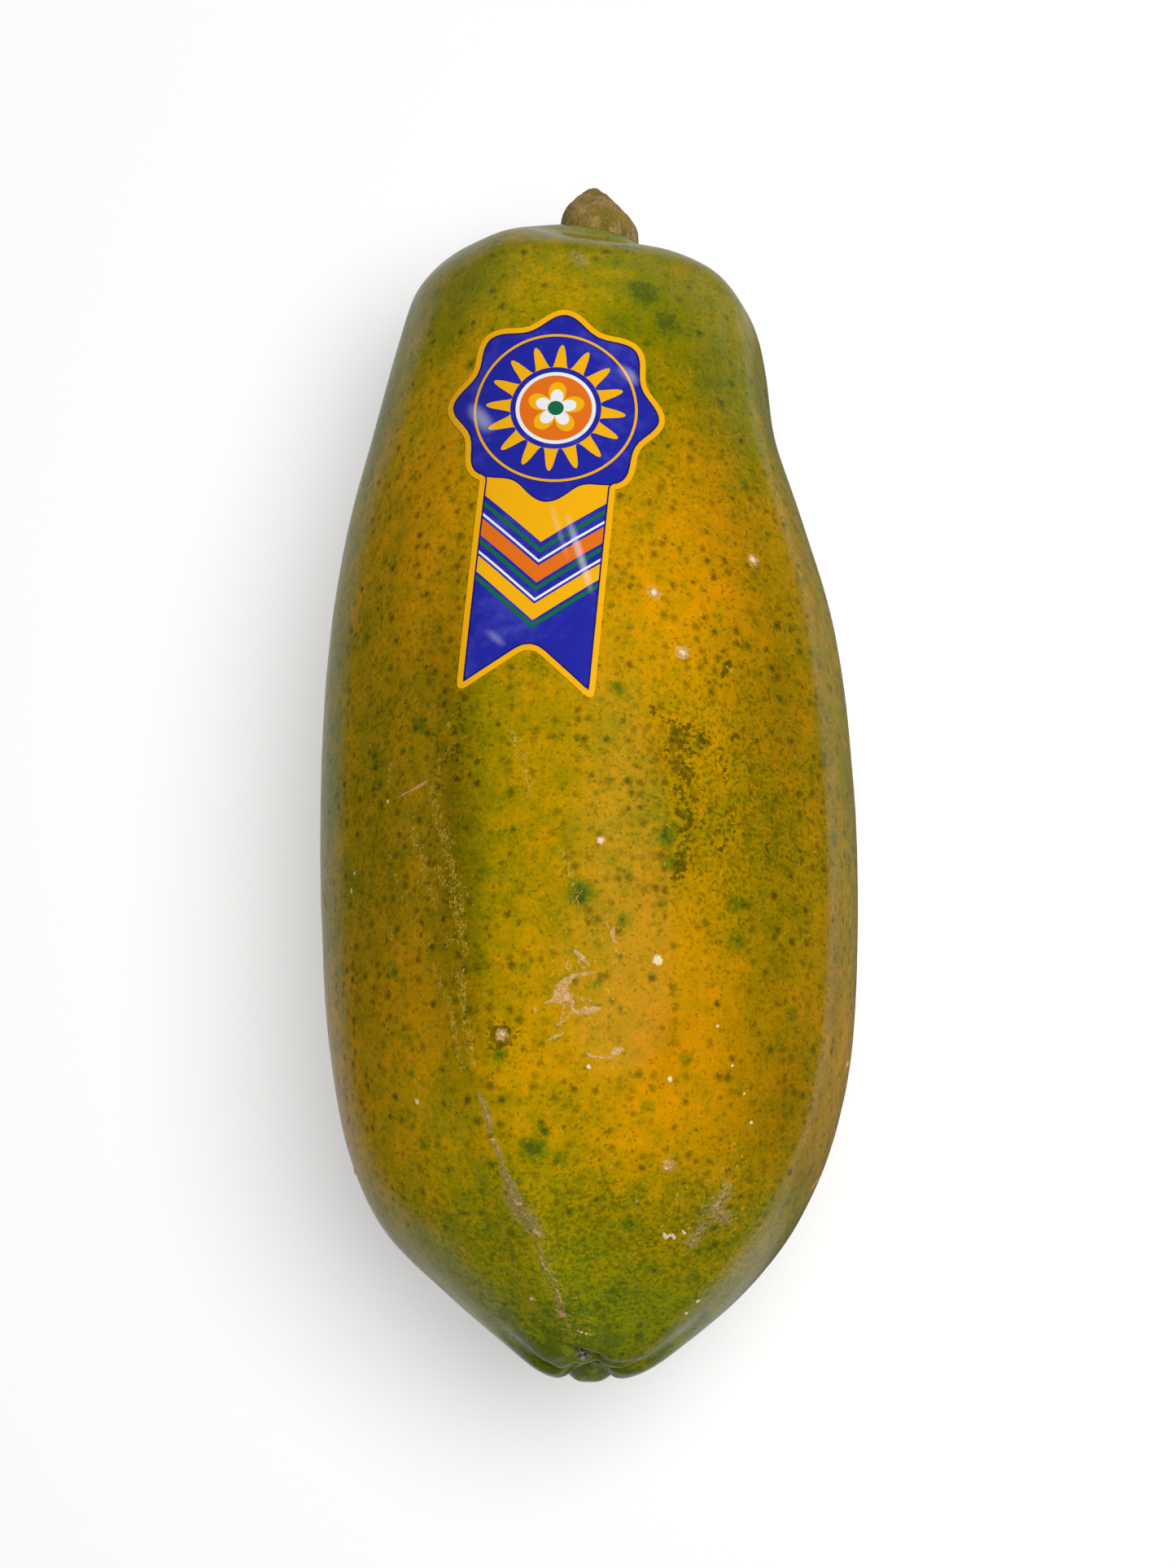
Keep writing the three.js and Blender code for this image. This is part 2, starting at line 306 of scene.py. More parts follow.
def fill_specks(graph: Graph, given: Given) -> Socket:
    """Builds soft round specks of different sizes, some left out.

    Args:
        graph: The group's nodes.
        given: The group's inputs by name.

    Returns:
        The mask of the specks.
    """
    cells = graph.add("TexVoronoi")
    graph.feed(cells.inputs["Vector"], wobbled(graph, given, finer=2.6, far=0.7))
    graph.feed(cells.inputs["Scale"], given["Scale"])
    gap, wide, strong = graph.feed_all("SeparateColor", cells.outputs["Color"]).outputs
    size = graph.times(given["Size"], graph.plus(wide, 0.7))
    spot = graph.math("POWER", graph.spread(cells.outputs["Distance"], size, 0.0), 1.25)
    present = graph.spread(graph.minus(given["Density"], gap), -0.03, 0.09)
    return graph.times(spot, present, graph.plus(graph.times(strong, 0.7), 0.28))


def fill_blots(graph: Graph, given: Given) -> Socket:
    """Builds soft uneven blots that run together where they are dense.

    Args:
        graph: The group's nodes.
        given: The group's inputs by name.

    Returns:
        The mask of the blots.
    """
    wide = graph.noise(given["Vector"], given["Scale"])
    fine = graph.noise(given["Vector"], graph.times(given["Scale"], 2.7))
    level = graph.plus(graph.times(wide, 0.68), graph.times(fine, 0.32))
    limit = graph.minus(0.62, graph.times(given["Density"], 0.14))
    return graph.spread(level, limit, graph.plus(limit, 0.09))


def fill_ragged(graph: Graph, given: Given) -> Socket:
    """Builds a mask with a torn edge from a soft one.

    Args:
        graph: The group's nodes.
        given: The group's inputs by name.

    Returns:
        The torn mask.
    """
    torn = graph.noise(given["Vector"], given["Scale"], detail=5.0, roughness=0.65)
    shift = graph.times(graph.minus(torn, 0.5), given["Tear"])
    return graph.spread(graph.plus(given["Level"], shift), 0.42, 0.58)


def fill_hairs(graph: Graph, given: Given) -> Socket:
    """Builds short crooked hairlines, more of them where the level is higher.

    Args:
        graph: The group's nodes.
        given: The group's inputs by name.

    Returns:
        The mask of the hairlines.
    """
    both = []
    for finer, shift in ((1.0, 0.0), (1.7, 0.31)):
        vector = graph.moved(given["Vector"], (shift, shift, shift))
        scale = graph.times(given["Scale"], finer)
        wave = graph.noise(vector, scale, roughness=0.55)
        line = graph.spread(graph.size(graph.minus(wave, 0.5)), given["Width"], 0.0)
        gate = graph.noise(vector, graph.times(scale, 1.2), detail=1.0)
        kept = graph.spread(graph.plus(gate, graph.minus(given["Level"], 1.05)), 0.0, 0.08)
        both.append(graph.times(line, kept))
    return graph.most(*both)


def fill_cracks(graph: Graph, given: Given) -> Socket:
    """Builds crooked cracks that branch and break off.

    Args:
        graph: The group's nodes.
        given: The group's inputs by name.

    Returns:
        The mask of the cracks.
    """
    cells = {"Vector": wobbled(graph, given, finer=0.9, far=1.9, detail=3.0), "Scale": given["Scale"]}
    away = graph.wire("TexVoronoi", cells, "Distance", feature="DISTANCE_TO_EDGE")
    line = graph.spread(away, given["Width"], 0.0)
    gaps = graph.noise(given["Vector"], graph.times(given["Scale"], 0.8))
    kept = graph.spread(graph.plus(gaps, graph.minus(given["Level"], 1.0)), 0.02, 0.12)
    return graph.times(line, kept)


class Effects:
    """The groups that the finishes share."""

    def __init__(self) -> None:
        """Makes each group once."""
        self.cloud = Effect("Cloud", {"Vector": None, "Scale": 50.0, "Amount": 1.0}, "Value", fill_cloud)
        self.specks = Effect("Specks", {"Vector": None, "Scale": 400.0, "Size": 0.2, "Density": 0.5},
                             "Mask", fill_specks)
        self.blots = Effect("Blots", {"Vector": None, "Scale": 600.0, "Density": 0.5}, "Mask", fill_blots)
        self.ragged = Effect("Ragged edge", {"Vector": None, "Level": 0.5, "Scale": 900.0, "Tear": 0.5},
                             "Mask", fill_ragged)
        self.hairs = Effect("Hairlines", {"Vector": None, "Level": 0.5, "Scale": 400.0, "Width": 0.03},
                            "Mask", fill_hairs)
        self.cracks = Effect("Cracks", {"Vector": None, "Level": 0.5, "Scale": 260.0, "Width": 0.05},
                             "Mask", fill_cracks)


def new_material(piece: bpy.types.Object, name: str) -> tuple[Graph, bpy.types.Node, Socket]:
    """Gives a piece a new material with a Principled shader.

    Args:
        piece: The piece.
        name: The material's name.

    Returns:
        The material's nodes, the shader and the Object coordinates.
    """
    material = bpy.data.materials.new(name)
    material.use_nodes = True
    piece.data.materials.append(material)
    graph = Graph(material.node_tree)
    shader = material.node_tree.nodes["Principled BSDF"]
    return graph, shader, graph.wire("TexCoord", {}, "Object")


# ---- finishes ----


@dataclass(frozen=True)
class SkinFinish:
    """Waxy papaya skin, from green through yellow to orange, with specks, scars, a dusty bloom that is partly
    painted sheen along the rims, and painted shade and light.
    """

    ripening: tuple[tuple[float, Colour], ...] = (
        (0.0, tone(78, 88, 14)),
        (0.15, tone(106, 110, 6)),
        (0.35, tone(128, 119, 1)),
        (0.52, tone(156, 130, 1)),
        (0.7, tone(186, 140, 1)),
        (0.86, tone(206, 146, 1)),
        (1.0, tone(224, 150, 1)),
    )
    speck: Colour = tone(76, 58, 3)
    speck_green: Colour = tone(50, 64, 6)
    stain: Colour = tone(80, 68, 4)
    cork_light: Colour = tone(222, 184, 128)
    cork_dark: Colour = tone(172, 130, 70)
    thread: Colour = tone(214, 172, 60)
    pale: Colour = tone(228, 208, 164)
    # The bloom's colour, laid also as painted sheen along the rims.
    bloom_and_sheen: Colour = tone(158, 148, 96)
    silver_light: Colour = tone(166, 152, 106)
    silver_dark: Colour = tone(112, 98, 48)
    scar_light: Colour = tone(150, 140, 122)
    scar_dark: Colour = tone(48, 44, 34)
    edges: tuple[tuple[Layer, float, float], ...] = (
        (Layer.BROWN, 900.0, 2.2), (Layer.SILVER, 1500.0, 1.7),
        (Layer.CORK, 1000.0, 0.8), (Layer.PALE, 1400.0, 1.0),
    )
    broad_cloud: tuple[float, float] = (52.0, 0.72)
    small_cloud: tuple[float, float] = (190.0, 0.9)
    colour_grain: Noise = (1300.0, 2.0, 0.5)
    colour_grain_share: float = 0.42
    pore_share: float = 0.34
    mottle: Noise = (700.0, 3.0, 0.5)
    mottle_span: Span = (0.25, 0.6, 0.55, 1.15)
    small_speck_share: float = 0.6
    blot_share: float = 0.5
    speck_unripe: float = 0.15
    green_span: Span = (0.2, 0.55)
    stain_noise: Noise = (420.0, 3.0, 0.6)
    stain_span: Span = (0.35, 0.62, 0.45, 0.85)
    mark_grain: Noise = (1500.0, 4.0, 0.75)
    silver_span: Span = (0.4, 0.62)
    cork_span: Span = (0.36, 0.62)
    crumbs: Noise = (900.0, 4.0, 0.7)
    crumb_span: Span = (0.4, 0.6)
    streak_stretch: tuple[float, float, float] = (420.0, 42.0, 420.0)
    streaks: Noise = (1.0, 4.0, 0.6)
    streak_span: Span = (0.3, 0.68, 0.25, 1.0)
    thread_stretch: tuple[float, float, float] = (1.0, 0.7, 1.0)
    grain: Noise = (1300.0, 3.0, 0.6)
    bloom_roughness: float = 0.12
    speck_share: float = 0.92
    silver_share: float = 0.64
    thread_share: float = 0.72
    cork_share: float = 0.8
    grain_depth: float = 0.015
    streak_depth: float = 0.07
    scab_depth: float = 0.14
    thread_depth: float = 0.04
    roughness: float = 0.17
    dull_roughness: float = 0.85
    reflection_index: float = 1.24

    def torn(self, graph: Graph, place: Socket, effects: Effects, layer: Layer) -> Socket:
        """Reads a painted layer and tears its edge, as finely and as far as edges says."""
        scale, tear = next(edge[1:] for edge in self.edges if edge[0] is layer)
        return effects.ragged.place(graph, Vector=place, Level=graph.attribute(layer), Scale=scale, Tear=tear)

    def ripeness(self, graph: Graph, place: Socket, effects: Effects) -> Socket:
        """Builds how ripe the skin is, with clouds, a fine grain and green spots.

        Args:
            graph: The material's nodes.
            place: The Object coordinates.
            effects: The shared groups.

        Returns:
            The ripeness, from 0 to 1.
        """
        pores = effects.specks.place(graph, Vector=place, Scale=105.0, Size=0.17, Density=0.5)
        broad, small = (effects.cloud.place(graph, Vector=place, Scale=scale, Amount=amount)
                        for scale, amount in (self.broad_cloud, self.small_cloud))
        grain = graph.minus(graph.noise(place, *self.colour_grain), 0.5)
        total = graph.plus(
            graph.attribute(Layer.RIPENESS), broad, small,
            graph.times(grain, self.colour_grain_share), graph.times(pores, -self.pore_share),
        )
        uneven = graph.spread(graph.noise(place, *self.mottle), *self.mottle_span)
        mottled = graph.times(graph.attribute(Layer.GREEN), uneven)
        return graph.math("SUBTRACT", total, mottled, clamp=True)

    def speckled(self, graph: Graph, place: Socket, ripeness: Socket, effects: Effects) -> Socket:
        """Builds the ripening colours with their darker specks and stains, under the painted shade and light.

        Args:
            graph: The material's nodes.
            place: The Object coordinates.
            ripeness: How ripe the skin is.
            effects: The shared groups.

        Returns:
            The colour.
        """
        density = graph.attribute(Layer.SPECKS)
        flecks = graph.attribute(Layer.FLECKS)
        fine = effects.specks.place(graph, Vector=place, Scale=800.0, Size=0.42, Density=flecks)
        blots = effects.blots.place(graph, Vector=place, Scale=900.0, Density=flecks)
        deep = graph.most(
            effects.specks.place(graph, Vector=place, Scale=400.0, Size=0.52, Density=density),
            graph.times(fine, self.small_speck_share),
            graph.times(blots, self.blot_share),
        )
        lower = graph.math("SUBTRACT", ripeness, graph.times(deep, self.speck_unripe), clamp=True)
        speck = graph.mix(graph.spread(ripeness, *self.green_span), self.speck_green, self.speck)
        colour = graph.mix(graph.times(deep, self.speck_share), graph.ramp(lower, self.ripening), speck)
        stain = self.torn(graph, place, effects, Layer.BROWN)
        patchy = graph.spread(graph.noise(place, *self.stain_noise), *self.stain_span)
        colour = graph.mix(graph.times(stain, patchy), colour, self.stain)
        # Painted shade and light: the colour is multiplied by one less the shade layer.
        shade = graph.minus(1.0, graph.attribute(Layer.PAINTED_LIGHT))
        return graph.mix(1.0, colour, shade, "MULTIPLY")

    def marked(self, graph: Graph, colour: Socket, masks: Sequence[Socket], place: Socket) -> Socket:
        """Lays the silvery tissue, threads, cork, pale flecks and blossom scar over the skin.

        Args:
            graph: The material's nodes.
            colour: The skin under them.
            masks: Where the tissue, the threads, the cork and the pale flecks are.
            place: The Object coordinates.

        Returns:
            The colour with the marks on it.
        """
        silver, threads, cork, pale = masks
        grain = graph.noise(place, *self.mark_grain)
        tissue = graph.mix(graph.spread(grain, *self.silver_span), self.silver_dark, self.silver_light)
        bark = graph.mix(graph.spread(grain, *self.cork_span), self.cork_dark, self.cork_light)
        for mask, share, laid in (
            (silver, self.silver_share, tissue),
            (threads, self.thread_share, self.thread),
            (cork, self.cork_share, bark),
        ):
            colour = graph.mix(graph.times(mask, share), colour, laid)
        colour = graph.mix(pale, colour, self.pale)
        crumbs = graph.spread(graph.noise(place, *self.crumbs), *self.crumb_span)
        dry = graph.mix(crumbs, self.scar_dark, self.scar_light)
        return graph.mix(graph.attribute(Layer.SCAR), colour, dry)

    def dress(self, piece: bpy.types.Object, effects: Effects) -> None:
        """Gives a piece this finish.

        Args:
            piece: The fruit, with its painted layers.
            effects: The shared groups.
        """
        graph, shader, place = new_material(piece, "papaya_skin")
        colour = self.speckled(graph, place, self.ripeness(graph, place, effects), effects)
        streaks = graph.noise(graph.stretched(place, self.streak_stretch), *self.streaks)
        # The bloom veil, partly painted sheen along the rims, broken into streaks.
        veil = graph.times(graph.attribute(Layer.BLOOM), graph.spread(streaks, *self.streak_span))
        colour = graph.mix(veil, colour, self.bloom_and_sheen)

        drawn = graph.stretched(place, self.thread_stretch)
        net = graph.attribute(Layer.NET)
        threads = effects.hairs.place(graph, Vector=drawn, Level=net, Scale=560.0, Width=0.032)
        silver, cork, pale = (self.torn(graph, place, effects, layer)
                              for layer in (Layer.SILVER, Layer.CORK, Layer.PALE))
        colour = self.marked(graph, colour, (silver, threads, cork, pale), place)
        graph.feed(shader.inputs["Base Color"], colour)

        dull = graph.most(graph.most(cork, pale), graph.most(graph.attribute(Layer.SCAR), threads))
        uneven = effects.cloud.place(graph, Vector=place, Scale=90.0, Amount=0.3)
        rough = graph.plus(uneven, self.roughness, graph.times(veil, self.bloom_roughness))
        graph.feed(shader.inputs["Roughness"], graph.spread(dull, 0.0, 1.0, rough, self.dull_roughness))
        shader.inputs["IOR"].default_value = self.reflection_index

        grain = graph.noise(place, *self.grain)
        strokes = graph.bump(streaks, self.streak_depth, graph.bump(grain, self.grain_depth))
        scabs = graph.bump(graph.times(cork, grain), self.scab_depth, strokes)
        graph.feed(shader.inputs["Normal"], graph.bump(threads, self.thread_depth, scabs))


@dataclass(frozen=True)
class BarkFinish:
    """The dry woody stub of the stalk, with a green flank and a pale broken face."""

    wood: Colour = tone(156, 129, 58)
    scab: Colour = tone(176, 145, 90)
    crack: Colour = tone(70, 54, 30)
    green: Colour = tone(112, 108, 24)
    broken: Colour = tone(206, 184, 156)
    dark: Colour = tone(76, 62, 42)
    scab_share: float = 0.75
    crack_share: float = 0.16
    grain_depth: float = 0.12
    scab_depth: float = 0.18
    crack_depth: float = 0.06
    stretch: tuple[float, float, float] = (1.0, 0.75, 1.0)
    green_span: Span = (0.42, 0.8, 0.0, 0.8)
    scabs: Noise = (330.0, 3.0, 0.6)
    grain: Noise = (1500.0, 4.0, 0.65)
    grain_span: Span = (0.35, 0.7, 0.0, 0.3)
    roughness: Span = (0.3, 0.7, 0.62, 0.88)

    def dress(self, piece: bpy.types.Object, effects: Effects) -> None:
        """Gives a piece this finish.

        Args:
            piece: The stub, with its painted layers.
            effects: The shared groups.
        """
        graph, shader, place = new_material(piece, "stalk_bark")
        along = graph.stretched(place, self.stretch)
        cloud = graph.plus(effects.cloud.place(graph, Vector=place, Scale=160.0, Amount=1.6), 0.5)
        colour = graph.mix(graph.spread(cloud, *self.green_span), self.wood, self.green)
        colour = graph.mix(graph.attribute(Stalk.GREEN), colour, self.green)
        colour = graph.mix(graph.attribute(Stalk.DARK), colour, self.dark)
        soft = graph.noise(along, *self.scabs)
        scabs = effects.ragged.place(graph, Vector=along, Level=soft, Scale=1100.0, Tear=0.4)
        colour = graph.mix(graph.times(scabs, self.scab_share), colour, self.scab)
        cracks = effects.cracks.place(graph, Vector=along, Level=0.7, Scale=300.0, Width=0.05)
        colour = graph.mix(graph.times(cracks, self.crack_share), colour, self.crack)
        colour = graph.mix(graph.attribute(Stalk.BROKEN), colour, self.broken)
        grain = graph.noise(place, *self.grain)
        colour = graph.mix(graph.spread(grain, *self.grain_span), colour, self.crack)
        graph.feed(shader.inputs["Base Color"], colour)
        graph.feed(shader.inputs["Roughness"], graph.spread(grain, *self.roughness))
        raised = graph.bump(scabs, self.scab_depth, graph.bump(grain, self.grain_depth))
        graph.feed(shader.inputs["Normal"], graph.bump(graph.minus(1.0, cracks), self.crack_depth, raised))


class Ink(Enum):
    """The inks of the label's bands."""

    GOLD = "gold"
    ORANGE = "orange"
    GREEN = "green"
    WHITE = "white"


@dataclass(frozen=True)
class PrintFinish:
    """Glossy film printed with a sun on a blue rosette, chevrons on the tail under it and golden edges, with
    a painted sheen in clouds on the blue and painted highlights along its creases.

    The pattern is laid out on the film's own flat map, in millimetres, round the rosette's middle.
    """

    blue: Colour = tone(34, 38, 156)
    deep_blue: Colour = tone(20, 20, 96)
    # Painted sheen: a lighter blue laid in clouds over the ground, standing in for reflections on the film.
    sheen_blue: Colour = tone(92, 92, 200)
    gold: Colour = tone(250, 184, 14)
    dark_gold: Colour = tone(206, 140, 10)
    orange: Colour = tone(226, 112, 26)
    green: Colour = tone(22, 104, 66)
    white: Colour = tone(236, 236, 240)
    edge_width: float = 1.35
    keyline: float = 0.4
    lobes: int = 8
    lobe_radius: float = 24.3
    lobe_height: float = 1.7
    screen_pitch: float = 0.62
    screen_span: Span = (-0.2, 1.0, 0.0, 0.5)
    sheen_span: Span = (-0.02, 0.2, 0.0, 0.4)
    medallion: float = 18.8
    ring: float = 0.6
    sun_radius: float = 8.6
    sun_gap: float = 2.2
    sun_rim: float = 0.9
    rays: int = 16
    ray_reach: float = 16.6
    ray_taper: float = 1.4
    petals: int = 5
    petal_blunt: float = 0.7
    petal_length: float = 4.6
    petal_start: float = 2.3
    petal_inside: float = 0.72
    heart: float = 1.9
    # Painted highlight: how far the print is lightened towards white along the wrinkles' crests.
    crease_highlight_share: float = 0.4
    coat: float = 0.35
    coat_roughness: float = 0.12
    ripples: Noise = (260.0, 2.0, 0.5)
    ripple_depth: float = 0.12
    chevrons: tuple[tuple[float, float, Ink], ...] = (
        (-29.8, 10.0, Ink.GOLD), (-36.9, 1.2, Ink.GREEN),
        (-39.6, 0.7, Ink.WHITE), (-42.8, 4.2, Ink.ORANGE), (-46.4, 1.2, Ink.GREEN),
        (-49.1, 0.7, Ink.WHITE), (-52.1, 4.0, Ink.GOLD), (-55.5, 1.2, Ink.GREEN),
    )
    chevron_slope: float = 0.78
    softness: float = 0.09
    roughness: float = 0.22

    def inside(self, graph: Graph, value: Input, limit: Input) -> Socket:
        """Builds a mask of where a value is under a limit, with a printed edge."""
        over = graph.minus(value, limit)
        return graph.spread(over, self.softness, -self.softness)

    def layered(self, graph: Graph, colour: Input, value: Socket,
                shapes: Iterable[tuple[Input, Input]]) -> Socket:
        """Prints shapes over each other.

        Args:
            graph: The material's nodes.
            colour: What is printed under them.
            value: What is measured, such as the distance from the middle.
            shapes: The limit that it lies under in each shape, and the shape's ink.

        Returns:
            The colour with the shapes on it.
        """
        for limit, ink in shapes:
            colour = graph.mix(self.inside(graph, value, limit), colour, ink)
        return colour

    def screened_gold(self, graph: Graph, flat: Sequence[Socket]) -> Socket:
        """Builds the gold ink, with its fine slanting screen."""
        slant = graph.plus(flat[0], flat[1])
        wave = graph.math("SINE", graph.times(slant, 2 * math.pi / self.screen_pitch))
        return graph.mix(graph.spread(wave, *self.screen_span), self.gold, self.dark_gold)

    def sun(self, graph: Graph, colour: Socket, gold: Socket, polar: Sequence[Socket]) -> Socket:
        """Prints the sun: a disc with a white ring and rays, and a flower of five petals in it.

        Args:
            graph: The material's nodes.
            colour: What is printed under it.
            gold: The gold ink.
            polar: Distance from the rosette's middle, and the angle round it.

        Returns:
            The colour with the sun on it.
        """
        radius, turn = polar
        beat = graph.math("COSINE", graph.times(turn, float(self.rays)))
        reach = graph.plus(graph.times(beat, 0.5), 0.5)
        gap = self.sun_radius + self.sun_gap
        length = graph.times(graph.math("POWER", reach, self.ray_taper), self.ray_reach - gap)
        petal = graph.size(graph.math("COSINE", graph.times(turn, self.petals / 2)))
        blunt = graph.math("POWER", petal, self.petal_blunt)
        edge = graph.plus(graph.times(blunt, self.petal_length), self.petal_start)
        return self.layered(graph, colour, radius, (
            (graph.plus(length, gap), gold),
            (gap, colour),
            (self.sun_radius + self.sun_rim, self.white),
            (self.sun_radius, self.orange),
            (edge, gold),
            (graph.times(edge, self.petal_inside), self.white),
            (self.heart, self.green),
        ))

    def bands(self, graph: Graph, colour: Socket, gold: Socket, flat: Sequence[Socket]) -> Socket:
        """Prints the chevrons down the tail.

        Args:
            graph: The material's nodes.
            colour: What is printed under them.
            gold: The gold ink.
            flat: Place across and up the film.

        Returns:
            The colour with the chevrons on it.
        """
        across, up = flat
        folded = graph.times(graph.size(across), -self.chevron_slope)
        level = graph.plus(up, folded)
        inks = {Ink.GOLD: gold, Ink.ORANGE: self.orange, Ink.GREEN: self.green, Ink.WHITE: self.white}
        for middle, width, ink in self.chevrons:
            away = graph.size(graph.minus(level, middle))
            colour = graph.mix(self.inside(graph, away, width / 2), colour, inks[ink])
        return colour

    def rosette(self, graph: Graph, colour: Socket, inks: Sequence[Input], polar: Sequence[Socket]) -> Socket:
        """Prints the rosette's rim, keyline and ground, which cover the top of the tail.

        Args:
            graph: The material's nodes.
            colour: What is printed under them.
            inks: The inks of the rim, the keyline and the ground.
            polar: Distance from the rosette's middle, and the angle round it.

        Returns:
            The colour with the rosette on it.
        """
        radius, turn = polar
        wave = graph.math("COSINE", graph.times(turn, float(self.lobes)))
        edge = graph.plus(graph.times(wave, self.lobe_height), self.lobe_radius)
        insets = (0.0, self.edge_width, self.edge_width + self.keyline)
        return self.layered(graph, colour, radius, zip((graph.minus(edge, inset) for inset in insets), inks))

    def artwork(self, graph: Graph, place: Socket, effects: Effects) -> Socket:
        """Prints the whole label.

        Args:
            graph: The material's nodes.
            place: The Object coordinates.
            effects: The shared groups.

        Returns:
            The printed colour.
        """
        flat = graph.sides(graph.wire("UVMap", {}, uv_map=Label.FLAT_MAP))[:2]
        radius = graph.math("SQRT", graph.plus(*(graph.times(side, side) for side in flat)))
        polar = (radius, graph.math("ARCTAN2", *flat))
        gold = self.screened_gold(graph, flat)
        # Painted sheen: the blue ground is lightened in soft clouds.
        sheen_cloud = effects.cloud.place(graph, Vector=place, Scale=70.0, Amount=1.0)
        field = graph.mix(graph.spread(sheen_cloud, *self.sheen_span), self.blue, self.sheen_blue)
        colour = self.bands(graph, field, gold, flat)
        colour = self.rosette(graph, colour, (gold, self.deep_blue, field), polar)
        medallion = ((self.medallion + self.ring, gold), (self.medallion, field))
        colour = self.sun(graph, self.layered(graph, colour, radius, medallion), gold, polar)
        border = ((self.edge_width + self.keyline, self.deep_blue), (self.edge_width, gold))
        colour = self.layered(graph, colour, graph.attribute(Label.INSET), border)
        # Painted highlight: lightens the print towards white where the film's wrinkles stand highest.
        return graph.mix(graph.times(graph.attribute(Label.CREASE_HIGHLIGHT), self.crease_highlight_share), colour, self.white)

    def dress(self, piece: bpy.types.Object, effects: Effects) -> None:
        """Gives a piece this finish.

        Args:
            piece: The label, with its flat map, its distance to the edge and the painted highlights along its
                creases.
            effects: The shared groups.
        """
        graph, shader, place = new_material(piece, "label_print")
        graph.feed(shader.inputs["Base Color"], self.artwork(graph, place, effects))
        smear = effects.cloud.place(graph, Vector=place, Scale=120.0, Amount=0.35)
        graph.feed(shader.inputs["Roughness"], graph.plus(smear, self.roughness))
        shader.inputs["Coat Weight"].default_value = self.coat
        shader.inputs["Coat Roughness"].default_value = self.coat_roughness
        ripples = graph.noise(place, *self.ripples)
        graph.feed(shader.inputs["Normal"], graph.bump(ripples, self.ripple_depth))


@dataclass(frozen=True)
class FloorFinish:
    """Matt white card, and how brightly each part of it shows in the gloss of what lies on it."""

    card: Colour = tone(244, 244, 242)
    shade: Colour = tone(238, 238, 237)
    lit: Colour = tone(194, 194, 193)
    black: Colour = tone(0, 0, 0)
    white: Colour = (1.0, 1.0, 1.0, 1.0)
    mirrored: Colour = (1.0, 1.0, 0.96, 1.0)
    under: tuple[float, float, float] = (15.0, 7.6, 1.0)
    glows: tuple[tuple[float, float, float], ...] = ((0.3, 1.0, 0.5), (5.0, 14.0, 0.28))
    half_width: float = 0.075
    half_length: float = 0.12
    left_shine: float = 0.42
    right_shine: float = 0.12
    end_shine: float = 0.6
    far_shine: float = 1.0
    full_at: float = 0.15
    soft: float = 0.03
    middle: float = 0.11
    longer: float = 0.03
    limits: tuple[float, float] = (0.235, 0.29)
    roughness: float = 0.9
    cloud: Noise = (3.0, 2.0, 0.5)

    def shine(self, graph: Graph, place: Socket) -> Socket:
        """Builds how brightly each place shows: dimly by the fruit, more farther off, up to a limit.

        Args:
            graph: The material's nodes.
            place: The Object coordinates.

        Returns:
            The brightness.
        """
        across, forward, _ = graph.sides(place)
        along = graph.size(forward)
        beside = graph.spread(across, -self.soft, self.soft, self.left_shine, self.right_shine)
        out = graph.minus(graph.size(across), self.half_width)
        away = graph.math("POWER", graph.spread(out, 0.0, self.full_at), 2.0)
        ends = graph.spread(along, self.half_length, self.half_length + self.soft, 0.0, self.end_shine)
        level = graph.most(ends, graph.times(away, self.far_shine))
        edge = graph.size(graph.minus(across, self.middle))
        limit = graph.spread(graph.most(edge, graph.minus(along, self.longer)), *self.limits[::-1])
        return graph.times(graph.most(level, beside), limit)

    def dress(self, floor: bpy.types.Object) -> None:
        """Gives the floor this finish.

        Args:
            floor: The floor.
        """
        graph, shader, place = new_material(floor, "studio_card")
        ray = graph.add("LightPath").outputs
        card = graph.mix(graph.noise(place, *self.cloud), self.card, self.shade)
        seen = graph.mix(ray["Is Camera Ray"], card, self.lit)
        graph.feed(shader.inputs["Base Color"], graph.mix(ray["Is Glossy Ray"], seen, self.black))
        shader.inputs["Roughness"].default_value = self.roughness
        shader.inputs["Specular IOR Level"].default_value = 0.0
        in_gloss = graph.times(ray["Is Glossy Ray"], self.shine(graph, place))
        reach = graph.wire("VectorMath", {0: graph.stretched(place, self.under)}, "Value", operation="LENGTH")
        glow = graph.plus(*(graph.spread(reach, near, far, 0.0, most) for near, far, most in self.glows))
        plain = graph.mix(graph.times(ray["Is Camera Ray"], glow), self.black, self.white)
        graph.feed(shader.inputs["Emission Color"], graph.mix(in_gloss, plain, self.mirrored))
        shader.inputs["Emission Strength"].default_value = 1.0


# ---- editing ----


def pick_only(piece: bpy.types.Object) -> None:
    """Makes a piece the only selected one, and the active one."""
    bpy.ops.object.select_all(action="DESELECT")
    piece.select_set(True)
    bpy.context.view_layer.objects.active = piece


def edit(piece: bpy.types.Object, *steps: Callable[[], object],
         corners: np.ndarray | None = None, faces: np.ndarray | None = None) -> None:
    """Runs edit-mode steps on a piece.

    Args:
        piece: The piece.
        steps: What is done, in order.
        corners: Which vertices are selected for it, if not everything is.
        faces: Which faces are, if not everything is.
    """
    pick_only(piece)
    mesh, whole = piece.data, corners is None and faces is None
    if not whole:
        for group, chosen in ((mesh.vertices, corners), (mesh.edges, None), (mesh.polygons, faces)):
            group.foreach_set("select", np.zeros(len(group), bool) if chosen is None else chosen)
        bpy.context.tool_settings.mesh_select_mode = (faces is None, False, faces is not None)
    bpy.ops.object.mode_set(mode="EDIT")
    if whole:
        bpy.ops.mesh.select_all(action="SELECT")
    for step in steps:
        step()
    bpy.ops.object.mode_set(mode="OBJECT")


